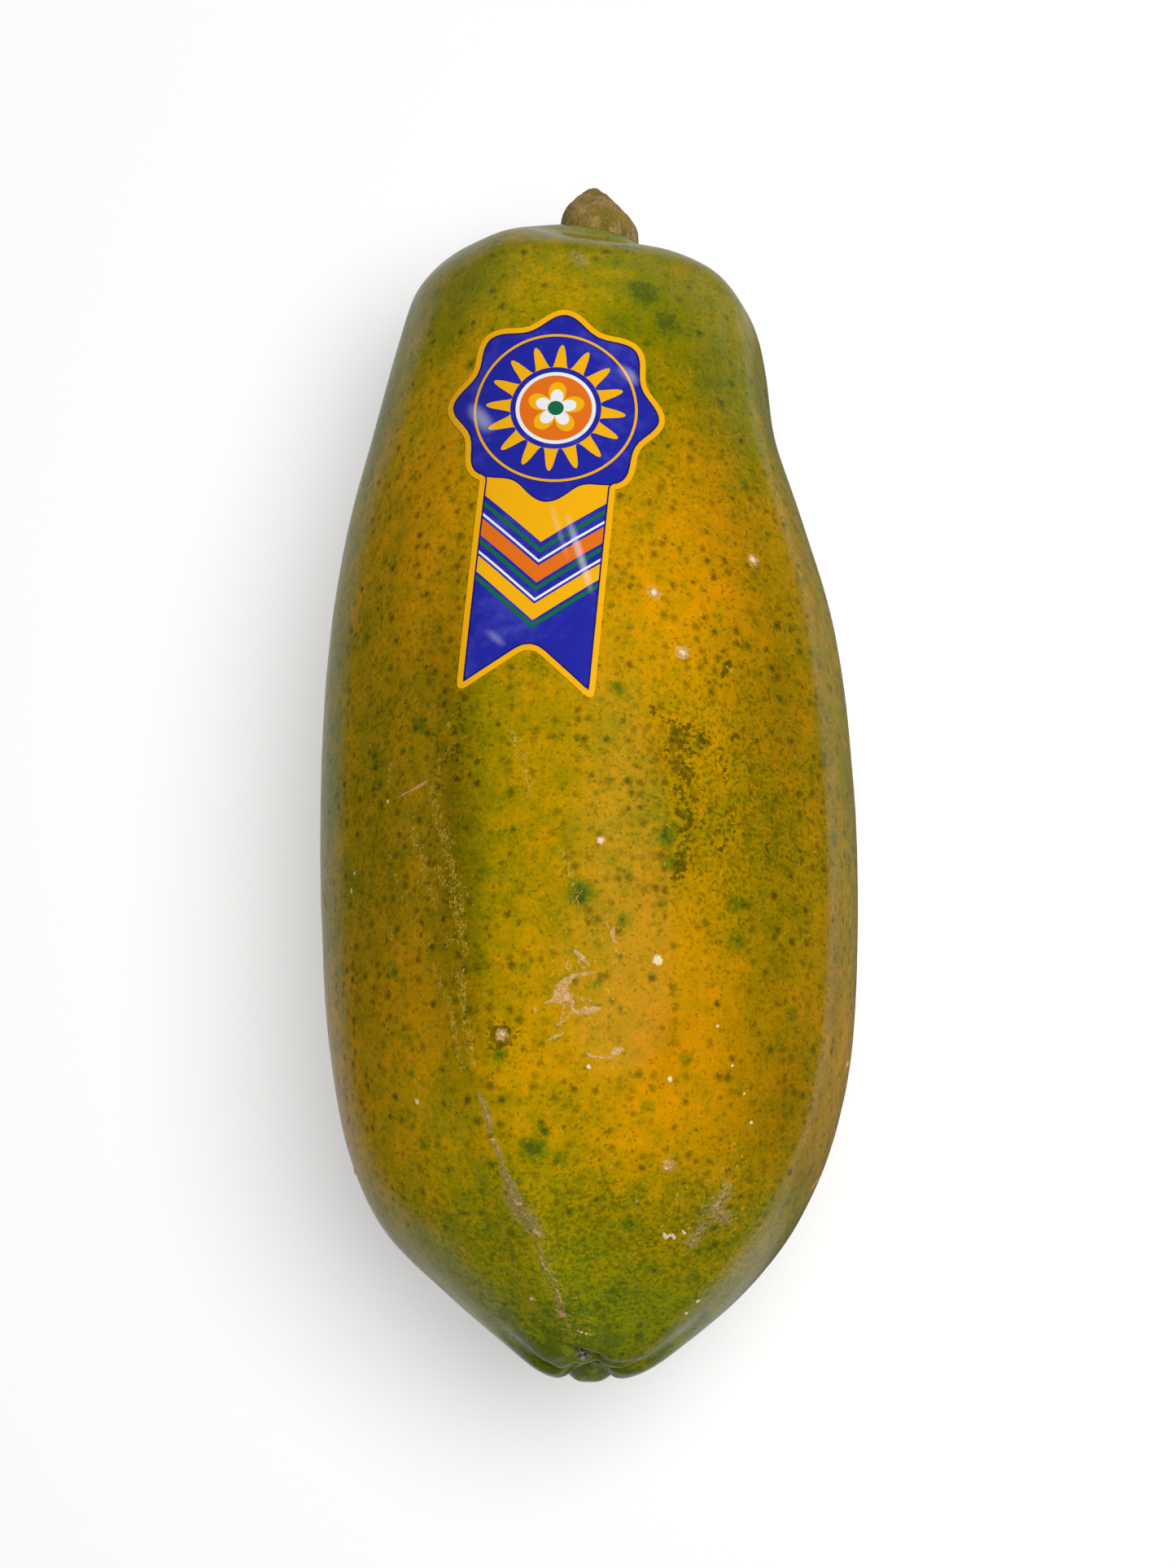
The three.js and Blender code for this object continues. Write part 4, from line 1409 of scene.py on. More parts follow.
    ribbons: tuple[Mark, ...] = (
        Mark(((-14, -32.6, 1), (-17.7, -33.6, 2.6), (-19.9, -34.4, 2.4), (-22.3, -33.6, 1.6),
              (-25.1, -33.1, 2.6), (-27.4, -32.7, 3), (-29.9, -30.9, 3), (-32.3, -30.3, 3.2),
              (-34.5, -30.9, 2.6), (-37.3, -29.6, 2.2), (-40.7, -28.9, 2.6), (-43.4, -28.1, 3.6),
              (-45.7, -28.3, 3.6), (-48.7, -28.2, 2.4), (-52.2, -27.3, 2.4), (-54.4, -27.5, 1.8),
              (-58.2, -26.4, 1.6)), 0.74),
        Mark(((-28, -39.7, 1.6), (-30.8, -39, 2.6), (-32.9, -37.9, 2.2), (-36.4, -37, 1.8),
              (-38.6, -37.2, 1.8), (-41.4, -36.2, 2.2), (-43.5, -34.3, 2.2), (-47.1, -33.3, 1.4)), 0.72),
        Mark(((-37.7, -35.3, 1), (-38.1, -32.4, 1.6), (-41.2, -31.8, 1.6), (-42.9, -29.6, 1.8)), 0.66),
        Mark(((-14.1, -47.6, 0.9), (-11, -46.8, 1), (-18.2, -46.7, 0.9)), 0.6),
        Mark(((-4.5, -50, 1.2), (-7.4, -49.3, 0.8)), 0.6),
        Mark(((-12.8, -33.2, 0.8), (-11.1, -31.2, 1), (-9.7, -30.5, 0.8)), 0.66),
        Mark(((-6.4, -31.5, 1), (-2.4, -29.1, 1)), 0.6),
        Mark(((-54.5, -32, 1.4), (-55.2, -30.6, 2.2), (-53.9, -28.6, 1.6)), 0.62),
        Mark(((-54.8, -45.7, 1), (-53.7, -43.6, 1.2)), 0.66),
        Mark(((-50.2, -47.1, 0.8), (-52.9, -46.7, 0.8)), 0.6),
        Mark(((-42.3, -44, 0.8), (-43.9, -43.1, 0.8)), 0.66),
        Mark(((-37.6, -47.3, 1), (-37.4, -45.8, 1)), 0.66),
        Mark(((-39.5, -44.8, 0.9), (-40.3, -44.3, 0.9)), 0.66),
        Mark(((-49.8, -47.6, 0.9), (-52, -47.7, 0.9)), 0.6),
        Mark(((-35, -6, 1.4), (-41, -4, 2), (-48, -3, 1.4)), 0.6),
        Mark(((-7, -17, 2), (-14, -14, 2.4), (-22, -13, 2)), 0.56),
        Mark(((-62, -28, 2), (-72, -27, 2.4), (-84, -26, 1.6)), 0.64),
        Mark(((-60, -35, 1.4), (-70, -30.5, 2), (-84, -28.6, 1.6)), 0.6),
    )
    base_net: float = 0.36
    nets: tuple[Patch, ...] = (
        Patch(-40, -38, 30, 12, 0.08), Patch(-112, 30, 8, 9, 0.12), Patch(-117, 42, 7, 7, 0.14),
        Patch(-106, 36, 5, 5, 0.14), Patch(-64, -2, 14, 10, 0.12), Patch(-82, 2, 6, 6, 0.14),
        Patch(-130, -16, 12, 5, 0.2), Patch(-141, -6, 4, 10, 0.12), Patch(114.8, -3.8, 2.8, 3, 0.2),
        Patch(-30, 150, 30, 12, 0.2), Patch(20, -140, 26, 10, 0.2),
    )
    folds: tuple[Fold, ...] = (
        Fold(((30, -27), (0, -27), (-64, -29), (-92, -25), (-117, -20), (-134, -15)), 7, 0.9),
        Fold(((115, 49), (77, 55), (26, 54), (-70, 57), (-107, 54), (-136, 44)), 6.5, 0.7),
        Fold(((-2.4, 84.5), (-1, 84.1), (1, 82.4)), 1.9, -1.5, True),
        Fold(((-5, 86), (-2.4, 84.9)), 1.1, -0.8, True),
        Fold(((-10.9, 73.7), (-6.4, 80.6), (-2.6, 84)), 1.6, -0.5, True),
        Fold(((-2.4, 83.5), (-3.2, 77), (-4.2, 71)), 1.6, -0.7, True),
        Fold(((1.4, 82), (2.6, 75), (4.2, 68)), 1.4, -0.8, True),
        Fold(((1.4, 83.5), (4, 81), (7.5, 79.2), (11, 78.6)), 1.5, -0.8, True),
    )
    scar_place: tuple[float, float] = (-0.4, 83.4)
    quad_angle: float = 60.0
    finer_within: tuple[float, ...] = (9.0, 2.5, 1.0)
    flat_marks_over: float = 2.0
    soft_marks_over: float = 8.0
    shown_side: float = 80.0
    scar_reach: float = 6.0
    scar_size: float = 1.5
    soft_start: float = 0.16
    # The most that the painted shade darkens, as a share of the colour.
    most_painted_shade: float = 0.8
    green_strength: float = 1.25
    ribbon_strength: float = 1.7
    most_ribbon: float = 0.78
    hidden_seed: int = 23
    hidden_along: tuple[float, float] = (-120.0, 112.0)
    hidden_round: tuple[float, float] = (74.0, 286.0)
    hidden_spots: int = 46
    hidden_spot_width: tuple[float, float] = (2.0, 5.0)
    hidden_spot_strength: tuple[float, float] = (0.28, 0.5)
    hidden_flecks: int = 26
    hidden_fleck_width: tuple[float, float] = (0.9, 1.8)
    hidden_corks: int = 9
    hidden_cork_run: tuple[float, float] = (2.0, 9.0)
    hidden_cork_swing: tuple[float, float] = (-7.0, 7.0)
    hidden_cork_width: tuple[float, float] = (1.0, 2.6)
    hidden_cork_taper: float = 0.6
    hidden_cork_strength: float = 0.85

    def build(self, effects: Effects, finish: SkinFinish) -> bpy.types.Object:
        """Builds the fruit and dresses it.

        Args:
            effects: The shared groups.
            finish: The skin.

        Returns:
            The piece.
        """
        coarse = loose_copy("fruit", "papaya_fruit")
        edit(coarse, lambda: bpy.ops.mesh.tris_convert_to_quads(
            face_threshold=math.radians(self.quad_angle), shape_threshold=math.radians(self.quad_angle)))
        smooth = self.smooth_copy(coarse)
        self.skin = Skin(smooth)
        self.add_hidden_marks()
        apply_modifier(coarse, "SUBSURF", levels=1, render_levels=1)
        for reach in self.finer_within:
            self.refine(coarse, reach)
        apply_modifier(coarse, "SHRINKWRAP", target=smooth, wrap_method="NEAREST_SURFACEPOINT")
        bpy.data.objects.remove(smooth)
        self.paint(coarse)
        self.raise_marks(coarse)
        self.rest(coarse)
        pick_only(coarse)
        bpy.ops.object.shade_smooth()
        finish.dress(coarse, effects)
        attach(coarse, BODY)
        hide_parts("fruit")
        return coarse

    def smooth_copy(self, coarse: bpy.types.Object) -> bpy.types.Object:
        """Makes a fine smooth surface that later steps follow.

        Args:
            coarse: The piece that it is made from.

        Returns:
            The smooth piece.
        """
        smooth = coarse.copy()
        smooth.data = coarse.data.copy()
        bpy.context.scene.collection.objects.link(smooth)
        apply_modifier(smooth, "SUBSURF", levels=3, render_levels=3)
        return smooth

    def add_hidden_marks(self) -> None:
        """Scatters marks over the sides and the underside, the same ones each time."""
        draw = random.Random(self.hidden_seed)

        def anywhere() -> tuple[float, float]:
            """Draws a place away from the top."""
            return draw.uniform(*self.hidden_along), draw.uniform(*self.hidden_round)

        spots = [
            spot(*anywhere(), draw.uniform(*self.hidden_spot_width), draw.uniform(*self.hidden_spot_strength))
            for _ in range(self.hidden_spots)
        ]
        flecks = [spot(*anywhere(), draw.uniform(*self.hidden_fleck_width))
                  for _ in range(self.hidden_flecks)]
        corks = []
        for _ in range(self.hidden_corks):
            along, angle = anywhere()
            run, swing = draw.uniform(*self.hidden_cork_run), draw.uniform(*self.hidden_cork_swing)
            width = draw.uniform(*self.hidden_cork_width)
            line = ((along, angle, width), (along + run, angle + swing, width * self.hidden_cork_taper))
            corks.append(Mark(line, self.hidden_cork_strength))
        self.green_spots += tuple(spots)
        self.pale_flecks += tuple(flecks)
        self.corks += tuple(corks)

    def refine(self, piece: bpy.types.Object, reach: float) -> None:
        """Divides the faces round the marks once more.

        Args:
            piece: The fruit.
            reach: How far from a mark's line faces are divided, in millimetres.
        """
        middles = np.empty(len(piece.data.polygons) * 3, np.float32)
        piece.data.polygons.foreach_get("center", middles)
        middles = middles.reshape(-1, 3).astype(float) / MM
        chosen = np.linalg.norm(middles - self.skin.tip(*self.scar_place), axis=1) < reach + self.scar_reach
        marks: Iterable[Mark] = (*self.corks, *self.pale_flecks)
        if reach > self.flat_marks_over:
            marks = (*marks, *self.silver, *self.ribbons, *self.stains)
        if reach > self.soft_marks_over:
            marks = (*marks, *self.green_spots)
            chosen |= np.abs(self.skin.around(middles)) < self.shown_side
        for mark in marks:
            chosen |= self.near(mark, middles, reach)
        edit(piece, lambda: bpy.ops.mesh.subdivide(number_cuts=1), faces=chosen)

    def near(self, mark: Mark, places: np.ndarray, reach: float) -> np.ndarray:
        """Tells which places are within reach of a mark's edge."""
        wider = tuple((along, angle, width + 2 * reach) for along, angle, width in mark.line)
        return Mark(wider).cover(self.skin, places) > 0.5

    def paint(self, piece: bpy.types.Object) -> None:
        """Writes the layers that the finish reads.

        Args:
            piece: The fruit.
        """
        places = corners_of(piece)
        skin = self.skin

        def patches(group: Iterable[Patch], base: float = 0.0) -> np.ndarray:
            """Adds up a group of patches."""
            return base + sum(patch.spread(skin, places) for patch in group)

        def marks(group: Iterable[Mark], soft: bool = False) -> np.ndarray:
            """Takes the strongest of a group of marks.

            Args:
                group: The marks.
                soft: Whether they fade towards their edges.

            Returns:
                The strength at each place.
            """
            total = np.zeros(len(places))
            for mark in group:
                cover = mark.cover(skin, places)
                if soft:
                    cover = np.clip((cover - self.soft_start) / (1.0 - self.soft_start), 0.0, 1.0)
                    cover = cover * cover * (3.0 - 2.0 * cover)
                total = np.maximum(total, cover * mark.strength)
            return total

        knots, levels = zip(*self.base_ripeness)
        self.cork, self.pale = marks(self.corks), marks(self.pale_flecks)
        ribbons = np.minimum(self.ribbon_strength * marks(self.ribbons), self.most_ribbon)
        scar = 2.0 - np.linalg.norm(places - skin.tip(*self.scar_place), axis=1) / self.scar_size
        layers = {
            Layer.RIPENESS: np.interp(skin.along(places), knots, levels) + patches(self.ripe_patches),
            Layer.GREEN: self.green_strength * marks(self.green_spots, soft=True),
            Layer.BROWN: marks(self.stains),
            Layer.CORK: self.cork,
            Layer.PALE: self.pale,
            Layer.NET: np.clip(np.maximum(patches(self.nets, self.base_net), ribbons), 0.0, 1.0),
            Layer.SPECKS: patches(self.speck_patches, self.base_specks),
            Layer.FLECKS: patches(self.fleck_patches, self.base_flecks),
            # Dusty bloom and painted sheen.
            Layer.BLOOM: np.clip(patches(self.bloom_and_sheen_patches), 0.0, 1.0),
            Layer.SILVER: marks(self.silver),
            # Painted shade and light.
            Layer.PAINTED_LIGHT: np.clip(patches(self.painted_light_patches), -1.0, self.most_painted_shade),
            Layer.SCAR: np.clip(scar, 0.0, 1.0),
        }
        for layer, values in layers.items():
            write_layer(piece, layer, values)

    def raise_marks(self, piece: bpy.types.Object) -> None:
        """Gives the skin its folds and lumps, and raises the scabs and flecks.

        Args:
            piece: The fruit.
        """
        places = corners_of(piece)
        rise = sum(fold.rise(self.skin, places) for fold in self.folds)
        raised = weight_group(piece, "raised", np.clip(rise, 0.0, 1.0))
        sunk = weight_group(piece, "sunk", np.clip(-rise / self.deepest_fold, 0.0, 1.0))
        displace(piece, 1.0, vertex_group=raised, mid_level=0.0)
        displace(piece, -self.deepest_fold, vertex_group=sunk, mid_level=0.0)
        cork = np.clip((self.cork - self.cork_starts) / self.cork_full, 0.0, 1.0)
        pale = np.clip((self.pale - self.pale_starts) / self.pale_full, 0.0, 1.0)
        cork, pale = weight_group(piece, "cork", cork), weight_group(piece, "pale", pale)
        displace(piece, self.lump_depth, texture=clouds("lumps", self.lump_size))
        scabs = clouds("scabs", self.scab_size)
        displace(piece, self.cork_height, texture=scabs, vertex_group=cork, mid_level=0.2)
        displace(piece, self.pale_height, vertex_group=pale, mid_level=0.0)
        piece.vertex_groups.clear()

    def rest(self, piece: bpy.types.Object) -> None:
        """Flattens what would go under the floor."""
        places = corners_of(piece)
        places[:, 2] = np.maximum(places[:, 2], 0.0)
        move_corners(piece, places)


# ---- stalk ----


@dataclass(frozen=True)
class BarkPatch:
    """A soft patch on the bark: its middle and reach sideways and outwards, and its strength."""

    side: float
    side_reach: float
    out: float
    out_reach: float
    strength: float = 1.0

    def cover(self, side: np.ndarray, out: np.ndarray) -> np.ndarray:
        """Returns how strong the patch is at each place."""
        across, up = (side - self.side) / self.side_reach, (out - self.out) / self.out_reach
        return self.strength * np.exp(-across**2 - up**2)


@dataclass
class Stalk:
    """The stub of the stalk."""

    GREEN = "green_flank"
    DARK = "dark_foot"
    BROKEN = "broken_face"

    cell: float = 0.45
    peak: tuple[float, float] = (-1.2, 1.0)
    peak_slopes: tuple[float, float] = (0.95, 1.1)
    peak_lean: float = 0.45
    peak_blunt: float = 0.5
    deepest_cut: float = 5.0
    fibre_size: float = 4.2
    fibre_depth: float = 0.5
    scab_size: float = 1.4
    scab_depth: float = 0.45
    mouth: tuple[float, float, float] = (2.65, 135.1, 55.2)
    break_direction: tuple[float, float, float] = (0.5, 0.62, -0.6)
    break_distance: float = 9.5
    break_edge: float = 0.4
    green_flank: BarkPatch = BarkPatch(1.5, 4.5, 3.0, 3.2)
    dark_feet: tuple[BarkPatch, ...] = (BarkPatch(-8.0, 3.0, 2.0, 2.2), BarkPatch(7.0, 5.0, 0.6, 1.4, 0.7))
    layer_share: float = 0.8

    def build(self, effects: Effects, finish: BarkFinish) -> bpy.types.Object:
        """Builds the stub and dresses it.

        Args:
            effects: The shared groups.
            finish: The bark.

        Returns:
            The piece.
        """
        stub = loose_copy("stem_stub", "papaya_stalk")
        apply_modifier(stub, "REMESH", mode="VOXEL", voxel_size=self.cell * MM)
        apply_modifier(stub, "SMOOTH", factor=0.5, iterations=4)
        self.sharpen(stub)
        self.paint(stub)
        displace(stub, self.fibre_depth, texture=clouds("fibres", self.fibre_size, depth=3))
        displace(stub, self.scab_depth, texture=clouds("scales", self.scab_size))
        pick_only(stub)
        bpy.ops.object.shade_smooth()
        finish.dress(stub, effects)
        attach(stub, BODY)
        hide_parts("stem_stub")
        return stub

    def sharpen(self, stub: bpy.types.Object) -> None:
        """Shaves what stands outside a blunt cone round the peak, so that the stub comes to a point.

        Args:
            stub: The stub.
        """
        side, out, up = (corners_of(stub) - np.array(self.mouth)).T
        peak_side, peak_up = self.peak
        slope = np.where(side < peak_side, *self.peak_slopes)
        run = np.hypot(slope * (side - peak_side), self.peak_lean * (up - peak_up))
        over = np.clip(out - (out.max() - np.maximum(run - self.peak_blunt, 0.0)), 0.0, self.deepest_cut)
        shaved = weight_group(stub, "shaved", over / self.deepest_cut)
        displace(stub, -self.deepest_cut, vertex_group=shaved, mid_level=0.0, direction="Y")
        stub.vertex_groups.clear()

    def paint(self, stub: bpy.types.Object) -> None:
        """Writes the layers that the finish reads.

        Args:
            stub: The stub.
        """
        off = corners_of(stub) - np.array(self.mouth)
        side, out, up = off.T
        direction = np.array(self.break_direction)
        direction /= np.linalg.norm(direction)
        past = off @ direction - self.break_distance + 0.5
        layers = {
            self.GREEN: self.green_flank.cover(side, out) * (up > 0),
            self.DARK: np.maximum(*(foot.cover(side, out) for foot in self.dark_feet)),
            self.BROKEN: np.clip(past / self.break_edge, 0.0, 1.0),
        }
        for layer, values in layers.items():
            write_layer(stub, layer, values * self.layer_share)


# ---- label ----


@dataclass
class Label:
    """The die-cut film label: a rosette with shallow lobes over a notched tail."""

    FLAT_MAP = "flat"
    INSET = "inset"
    # The painted highlights along the wrinkles' crests.
    CREASE_HIGHLIGHT = "crease_highlight"

    width: float = 52.0
    lobes: int = 8
    lobe_depth: float = 3.4
    points_per_lobe: int = 12
    length: float = 98.8
    tail_width: float = 32.0
    notch: float = 12.6
    rounding: float = 3.4
    place: tuple[float, float] = (-7.65, 78.28)
    turn: float = -5.5
    cell: float = 0.6
    margin: float = 1.0
    block: float = 1.0
    die_height: float = 10.0
    corner_steps: int = 4
    joined_within: float = 0.02
    smooth_angle: float = 50.0
    lift: float = 0.1
    thickness: float = 0.14
    flat_rim: float = 3.0
    crease_height: float = 0.16
    crease_from: float = 0.55
    wrinkle_ends: tuple[float, float] = (0.04, 0.96)
    wrinkles: tuple[tuple[tuple[float, float], tuple[float, float], float, float], ...] = (
        ((4.0, -24.0), (14.5, -50.0), 1.0, 0.28),
        ((-1.0, -20.0), (9.0, -44.0), 0.8, 0.16),
        ((-22.0, 2.0), (-13.0, -9.0), 2.4, 0.22),
        ((12.0, 14.0), (22.0, 7.0), 2.0, 0.2),
        ((-12.0, -56.0), (-4.0, -62.0), 1.4, 0.16),
    )

    def build(self, effects: Effects, finish: PrintFinish, fruit: bpy.types.Object) -> bpy.types.Object:
        """Builds the label on the fruit and dresses it.

        Args:
            effects: The shared groups.
            finish: The print.
            fruit: What it is stuck to.

        Returns:
            The piece.
        """
        sheet = self.cut_sheet()
        self.map_flat(sheet)
        self.lay(sheet, fruit)
        apply_modifier(sheet, "SOLIDIFY", thickness=self.thickness * MM, offset=1.0)
        pick_only(sheet)
        bpy.ops.object.shade_smooth_by_angle(angle=math.radians(self.smooth_angle))
        finish.dress(sheet, effects)
        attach(sheet, BODY)
        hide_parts("label")
        return sheet

    def outline(self) -> list[tuple[float, float]]:
        """Works out the corners of the label's edge.

        Returns:
            The corners, anticlockwise, round the rosette's middle.
        """
        half, end = self.tail_width / 2, self.width / 2 - self.length
        count = self.lobes * self.points_per_lobe
        rosette = []
        for index in range(count):
            angle = 2 * math.pi * index / count - math.pi / 2
            radius = self.width / 2 - self.lobe_depth * (1 - math.cos(self.lobes * angle)) / 2
            rosette.append((radius * math.cos(angle), radius * math.sin(angle)))
        kept = [point for point in rosette if not (abs(point[0]) < half and point[1] < 0)]
        first = next(i for i, point in enumerate(kept) if point[0] > 0 and point[1] < 0)
        kept = kept[first:] + kept[:first]
        tail = [(-half, end), (0.0, end + self.notch), (half, end)]
        before, after = next(pair for pair in zip(rosette, rosette[1:]) if pair[1][0] > half)
        join = float(np.interp(half, (before[0], after[0]), (before[1], after[1])))
        return kept + [(-half, join), *self.rounded(tail), (half, join)]

    def rounded(self, corners: list[tuple[float, float]]) -> list[tuple[float, float]]:
        """Rounds the tail's corners.

        Args:
            corners: The tail's three corners, from left to right.

        Returns:
            More points, on small curves.
        """
        half = self.tail_width / 2
        path = [(-half, 0.0), *corners, (half, 0.0)]
        points = []
        for before, corner, after in zip(path, path[1:], path[2:]):
            ends = []
            for other in (before, after):
                share = self.rounding / math.dist(corner, other)
                ends.append([c + (o - c) * share for c, o in zip(corner, other)])
            for step in range(self.corner_steps + 1):
                t = step / self.corner_steps
                points.append(tuple(
                    (1 - t) ** 2 * a + 2 * t * (1 - t) * c + t**2 * b
                    for a, c, b in zip(ends[0], corner, ends[1])))
        return points

    def cut_sheet(self) -> bpy.types.Object:
        """Cuts the label out of a flat sheet of small squares, in its own flat place.

        Returns:
            The sheet.
        """
        size = [self.width + 2 * self.margin, self.length + 2 * self.margin]
        counts = [round(side / self.cell) for side in size]
        middle = (0.0, (self.width - self.length) / 2)
        bpy.ops.object.select_all(action="DESELECT")
        bpy.ops.mesh.primitive_grid_add(x_subdivisions=counts[0], y_subdivisions=counts[1], size=1.0)
        sheet = bpy.context.object
        sheet.name = sheet.data.name = "papaya_label"
        edit(
            sheet,
            lambda: bpy.ops.transform.resize(value=(size[0] * MM, size[1] * MM, 1.0)),
            lambda: bpy.ops.transform.translate(value=(middle[0] * MM, middle[1] * MM, 0.0)),
            lambda: thicken(self.block),
        )
        cutter = self.die()
        apply_modifier(sheet, "BOOLEAN", object=cutter, operation="INTERSECT", solver="EXACT")
        bpy.data.objects.remove(cutter)
        self.keep_lowest(sheet)
        return sheet

    def die(self) -> bpy.types.Object:
        """Makes the die: the label's outline as a tall block.

        Returns:
            The block.
        """
        outline = self.outline()
        bpy.ops.object.select_all(action="DESELECT")
        bpy.ops.mesh.primitive_circle_add(vertices=len(outline), radius=1.0, fill_type="NGON")
        die = bpy.context.object
        move_corners(die, np.array([(u, v, -self.die_height / 2) for u, v in outline]))
        edit(
            die,
            lambda: thicken(self.die_height),
            lambda: bpy.ops.mesh.select_all(action="SELECT"),
            lambda: bpy.ops.mesh.normals_make_consistent(inside=False),
        )
        return die

    def keep_lowest(self, sheet: bpy.types.Object) -> None:
        """Deletes the block's sides and top, so that its underside is left as a sheet.

        Args:
            sheet: The block that was cut out.
        """
        edit(
            sheet,
            lambda: bpy.ops.mesh.delete(type="VERT"),
            lambda: bpy.ops.mesh.select_all(action="SELECT"),
            lambda: bpy.ops.mesh.remove_doubles(threshold=self.joined_within * MM),
            lambda: bpy.ops.mesh.flip_normals(),
            corners=corners_of(sheet)[:, 2] > self.block / 2,
        )

    def map_flat(self, sheet: bpy.types.Object) -> None:
        """Keeps each corner's flat place, in millimetres, and its distance from the edge.

        Args:
            sheet: The flat sheet.
        """
        flat = corners_of(sheet)[:, :2]
        layer = sheet.data.uv_layers.new(name=self.FLAT_MAP)
        order = np.empty(len(sheet.data.loops), np.int32)
        sheet.data.loops.foreach_get("vertex_index", order)
        layer.data.foreach_set("uv", flat[order].astype(np.float32).ravel())
        outline = np.array(self.outline())
        inset = np.full(len(flat), math.inf)
        for start, end in zip(outline, np.roll(outline, -1, axis=0)):
            inset = np.minimum(inset, off_line(flat, start, end)[1])
        write_layer(sheet, self.INSET, inset)
        self.ripple = self.wrinkle_heights(flat) * np.clip(inset / self.flat_rim, 0.0, 1.0)
        # Painted highlight: the highest parts of the wrinkles are marked to be lightened towards white.
        crease_highlight = self.ripple / self.crease_height - self.crease_from
        write_layer(sheet, self.CREASE_HIGHLIGHT, np.clip(crease_highlight, 0.0, 1.0))

    def wrinkle_heights(self, flat: np.ndarray) -> np.ndarray:
        """Returns how far the film stands off the skin in its wrinkles.

        Args:
            flat: Places on the flat sheet.

        Returns:
            The height at each.
        """
        heights = np.zeros(len(flat))
        for start, end, width, height in self.wrinkles:
            share, away = off_line(flat, np.array(start), np.array(end))
            arch = np.sin(np.pi * np.clip(share, *self.wrinkle_ends))
            heights += height * np.exp(-((away / width) ** 2)) * arch
        return heights

    def lay(self, sheet: bpy.types.Object, fruit: bpy.types.Object) -> None:
        """Turns the sheet to its place and lets it down onto the skin.

        Args:
            sheet: The flat sheet.
            fruit: What it lies on.
        """
        tree = BVHTree.FromObject(fruit, bpy.context.evaluated_depsgraph_get())
        flat = corners_of(sheet)[:, :2]
        cos, sin = math.cos(math.radians(self.turn)), math.sin(math.radians(self.turn))
        down = Vector((0.0, 0.0, -1.0))
        laid = np.empty((len(flat), 3))
        for index, (u, v) in enumerate(flat):
            x, y = self.place[0] + u * cos - v * sin, self.place[1] + u * sin + v * cos
            hit, normal, _, _ = tree.ray_cast(Vector((x, y, FAR)) * MM, down)
            laid[index] = np.array(hit) / MM + np.array(normal) * (self.lift + self.ripple[index])
        move_corners(sheet, laid)


# ---- studio ----


@dataclass(frozen=True)
class Lamp:
    """A soft panel: where it stands, how big it is, its power, and whether it shows in the gloss."""

    name: str
    place: tuple[float, float, float]
    size: float
    power: float
    glossy: bool = True


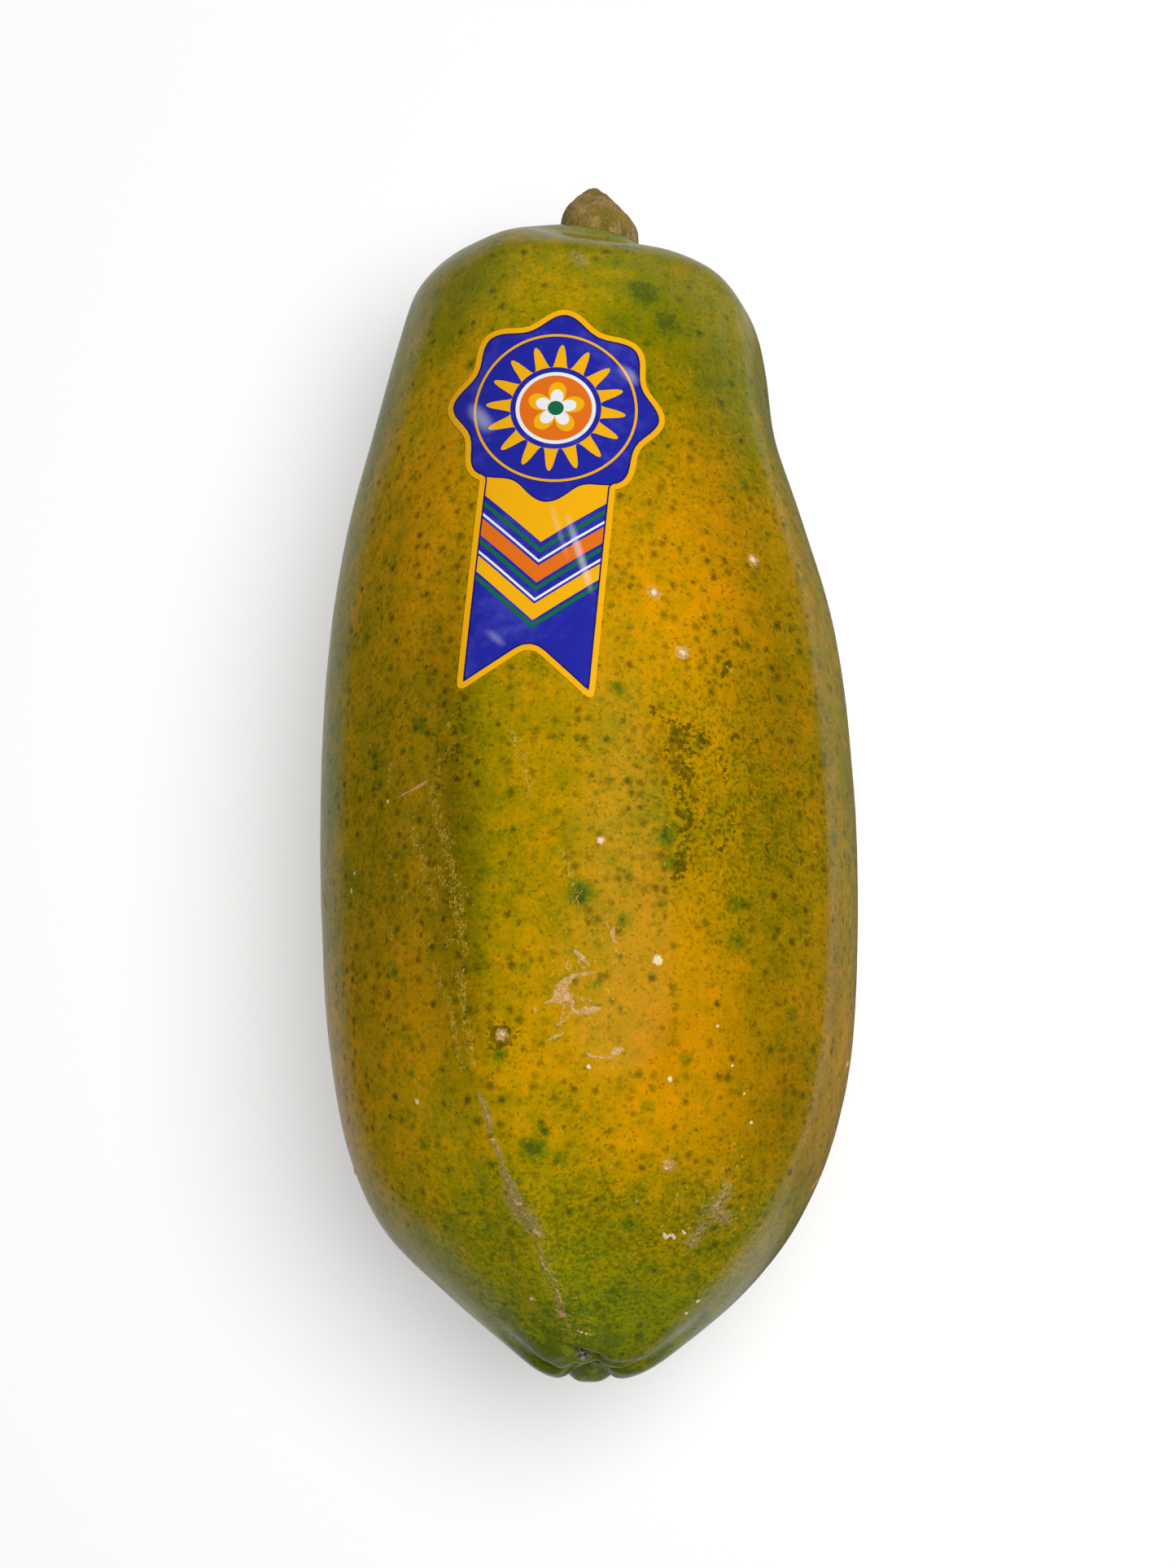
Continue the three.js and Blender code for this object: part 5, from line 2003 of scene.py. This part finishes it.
@dataclass(frozen=True)
class Studio:
    """A pale floor, soft lamps and the camera above."""

    frame_height: int = 1927
    sensor: float = 36.0
    focal_pixels: float = 4500.0
    elevation: float = 81.0
    distance: float = 900.0
    target: tuple[float, float, float] = (0.0, -4.9, 63.0)
    clip: tuple[float, float] = (0.05, 20.0)
    floor_size: float = 4000.0
    lamps: tuple[Lamp, ...] = (
        Lamp("key", (300.0, 60.0, 1280.0), 900.0, 18.1, False),
    )
    sky: Colour = tone(236, 238, 240)
    horizon_strength: float = 0.1
    zenith_strength: float = 0.04
    dim_from: float = 0.7

    def build_camera(self) -> None:
        """Adds the camera, looking down on the fruit from its blossom end."""
        elevation = math.radians(self.elevation)
        back = Vector((0.0, -math.cos(elevation), math.sin(elevation)))
        data = bpy.data.cameras.new("camera")
        data.sensor_width = self.sensor
        data.lens = self.focal_pixels / self.frame_height * self.sensor
        data.clip_start, data.clip_end = self.clip
        camera = put("camera", data)
        camera.location = (Vector(self.target) + back * self.distance) * MM
        camera.rotation_euler = (-back).to_track_quat("-Z", "Y").to_euler()
        bpy.context.scene.camera = camera

    def build_lamps(self) -> None:
        """Adds the lamps, each turned towards the fruit."""
        for lamp in self.lamps:
            data = bpy.data.lights.new(lamp.name, "AREA")
            data.shape = "DISK"
            data.size = lamp.size * MM
            data.energy = lamp.power
            light = put(lamp.name, data)
            light.location = Vector(lamp.place) * MM
            towards = Vector(self.target) - Vector(lamp.place)
            light.rotation_euler = towards.to_track_quat("-Z", "Y").to_euler()
            light.visible_glossy = lamp.glossy
            light.visible_camera = False

    def build_sky(self) -> None:
        """Makes the surroundings: bright near the floor, dim overhead."""
        world = bpy.data.worlds.new("studio")
        world.use_nodes = True
        graph = Graph(world.node_tree)
        height = graph.sides(graph.wire("TexCoord", {}, "Generated"))[2]
        dim = graph.spread(height, 0.0, self.dim_from, self.horizon_strength, self.zenith_strength)
        seen = graph.wire("LightPath", {}, "Is Camera Ray")
        background = world.node_tree.nodes["Background"]
        graph.feed(background.inputs["Color"], self.sky)
        graph.feed(background.inputs["Strength"], graph.most(dim, seen))
        bpy.context.scene.world = world
        bpy.context.scene.view_settings.view_transform = "Standard"

    def build_floor(self, finish: FloorFinish) -> None:
        """Adds the floor.

        Args:
            finish: The card.
        """
        bpy.ops.object.select_all(action="DESELECT")
        bpy.ops.mesh.primitive_plane_add(size=self.floor_size * MM)
        floor = bpy.context.object
        floor.name = "studio_floor"
        edit(floor, lambda: bpy.ops.mesh.subdivide(number_cuts=3))
        finish.dress(floor)


def main() -> None:
    """Builds the studio and the pieces, in order."""
    studio = Studio()
    studio.build_camera()
    studio.build_sky()
    studio.build_lamps()
    studio.build_floor(FloorFinish())
    effects = Effects()
    fruit = Fruit().build(effects, SkinFinish())
    pieces = [fruit, Stalk().build(effects, BarkFinish()), Label().build(effects, PrintFinish(), fruit)]
    for piece in pieces:
        piece.data.calc_loop_triangles()
        log.info("%s: %d triangles", piece.name, len(piece.data.loop_triangles))


if __name__ == "__main__":
    logging.basicConfig(level=logging.INFO, format="%(name)s: %(message)s")
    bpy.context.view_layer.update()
    main()
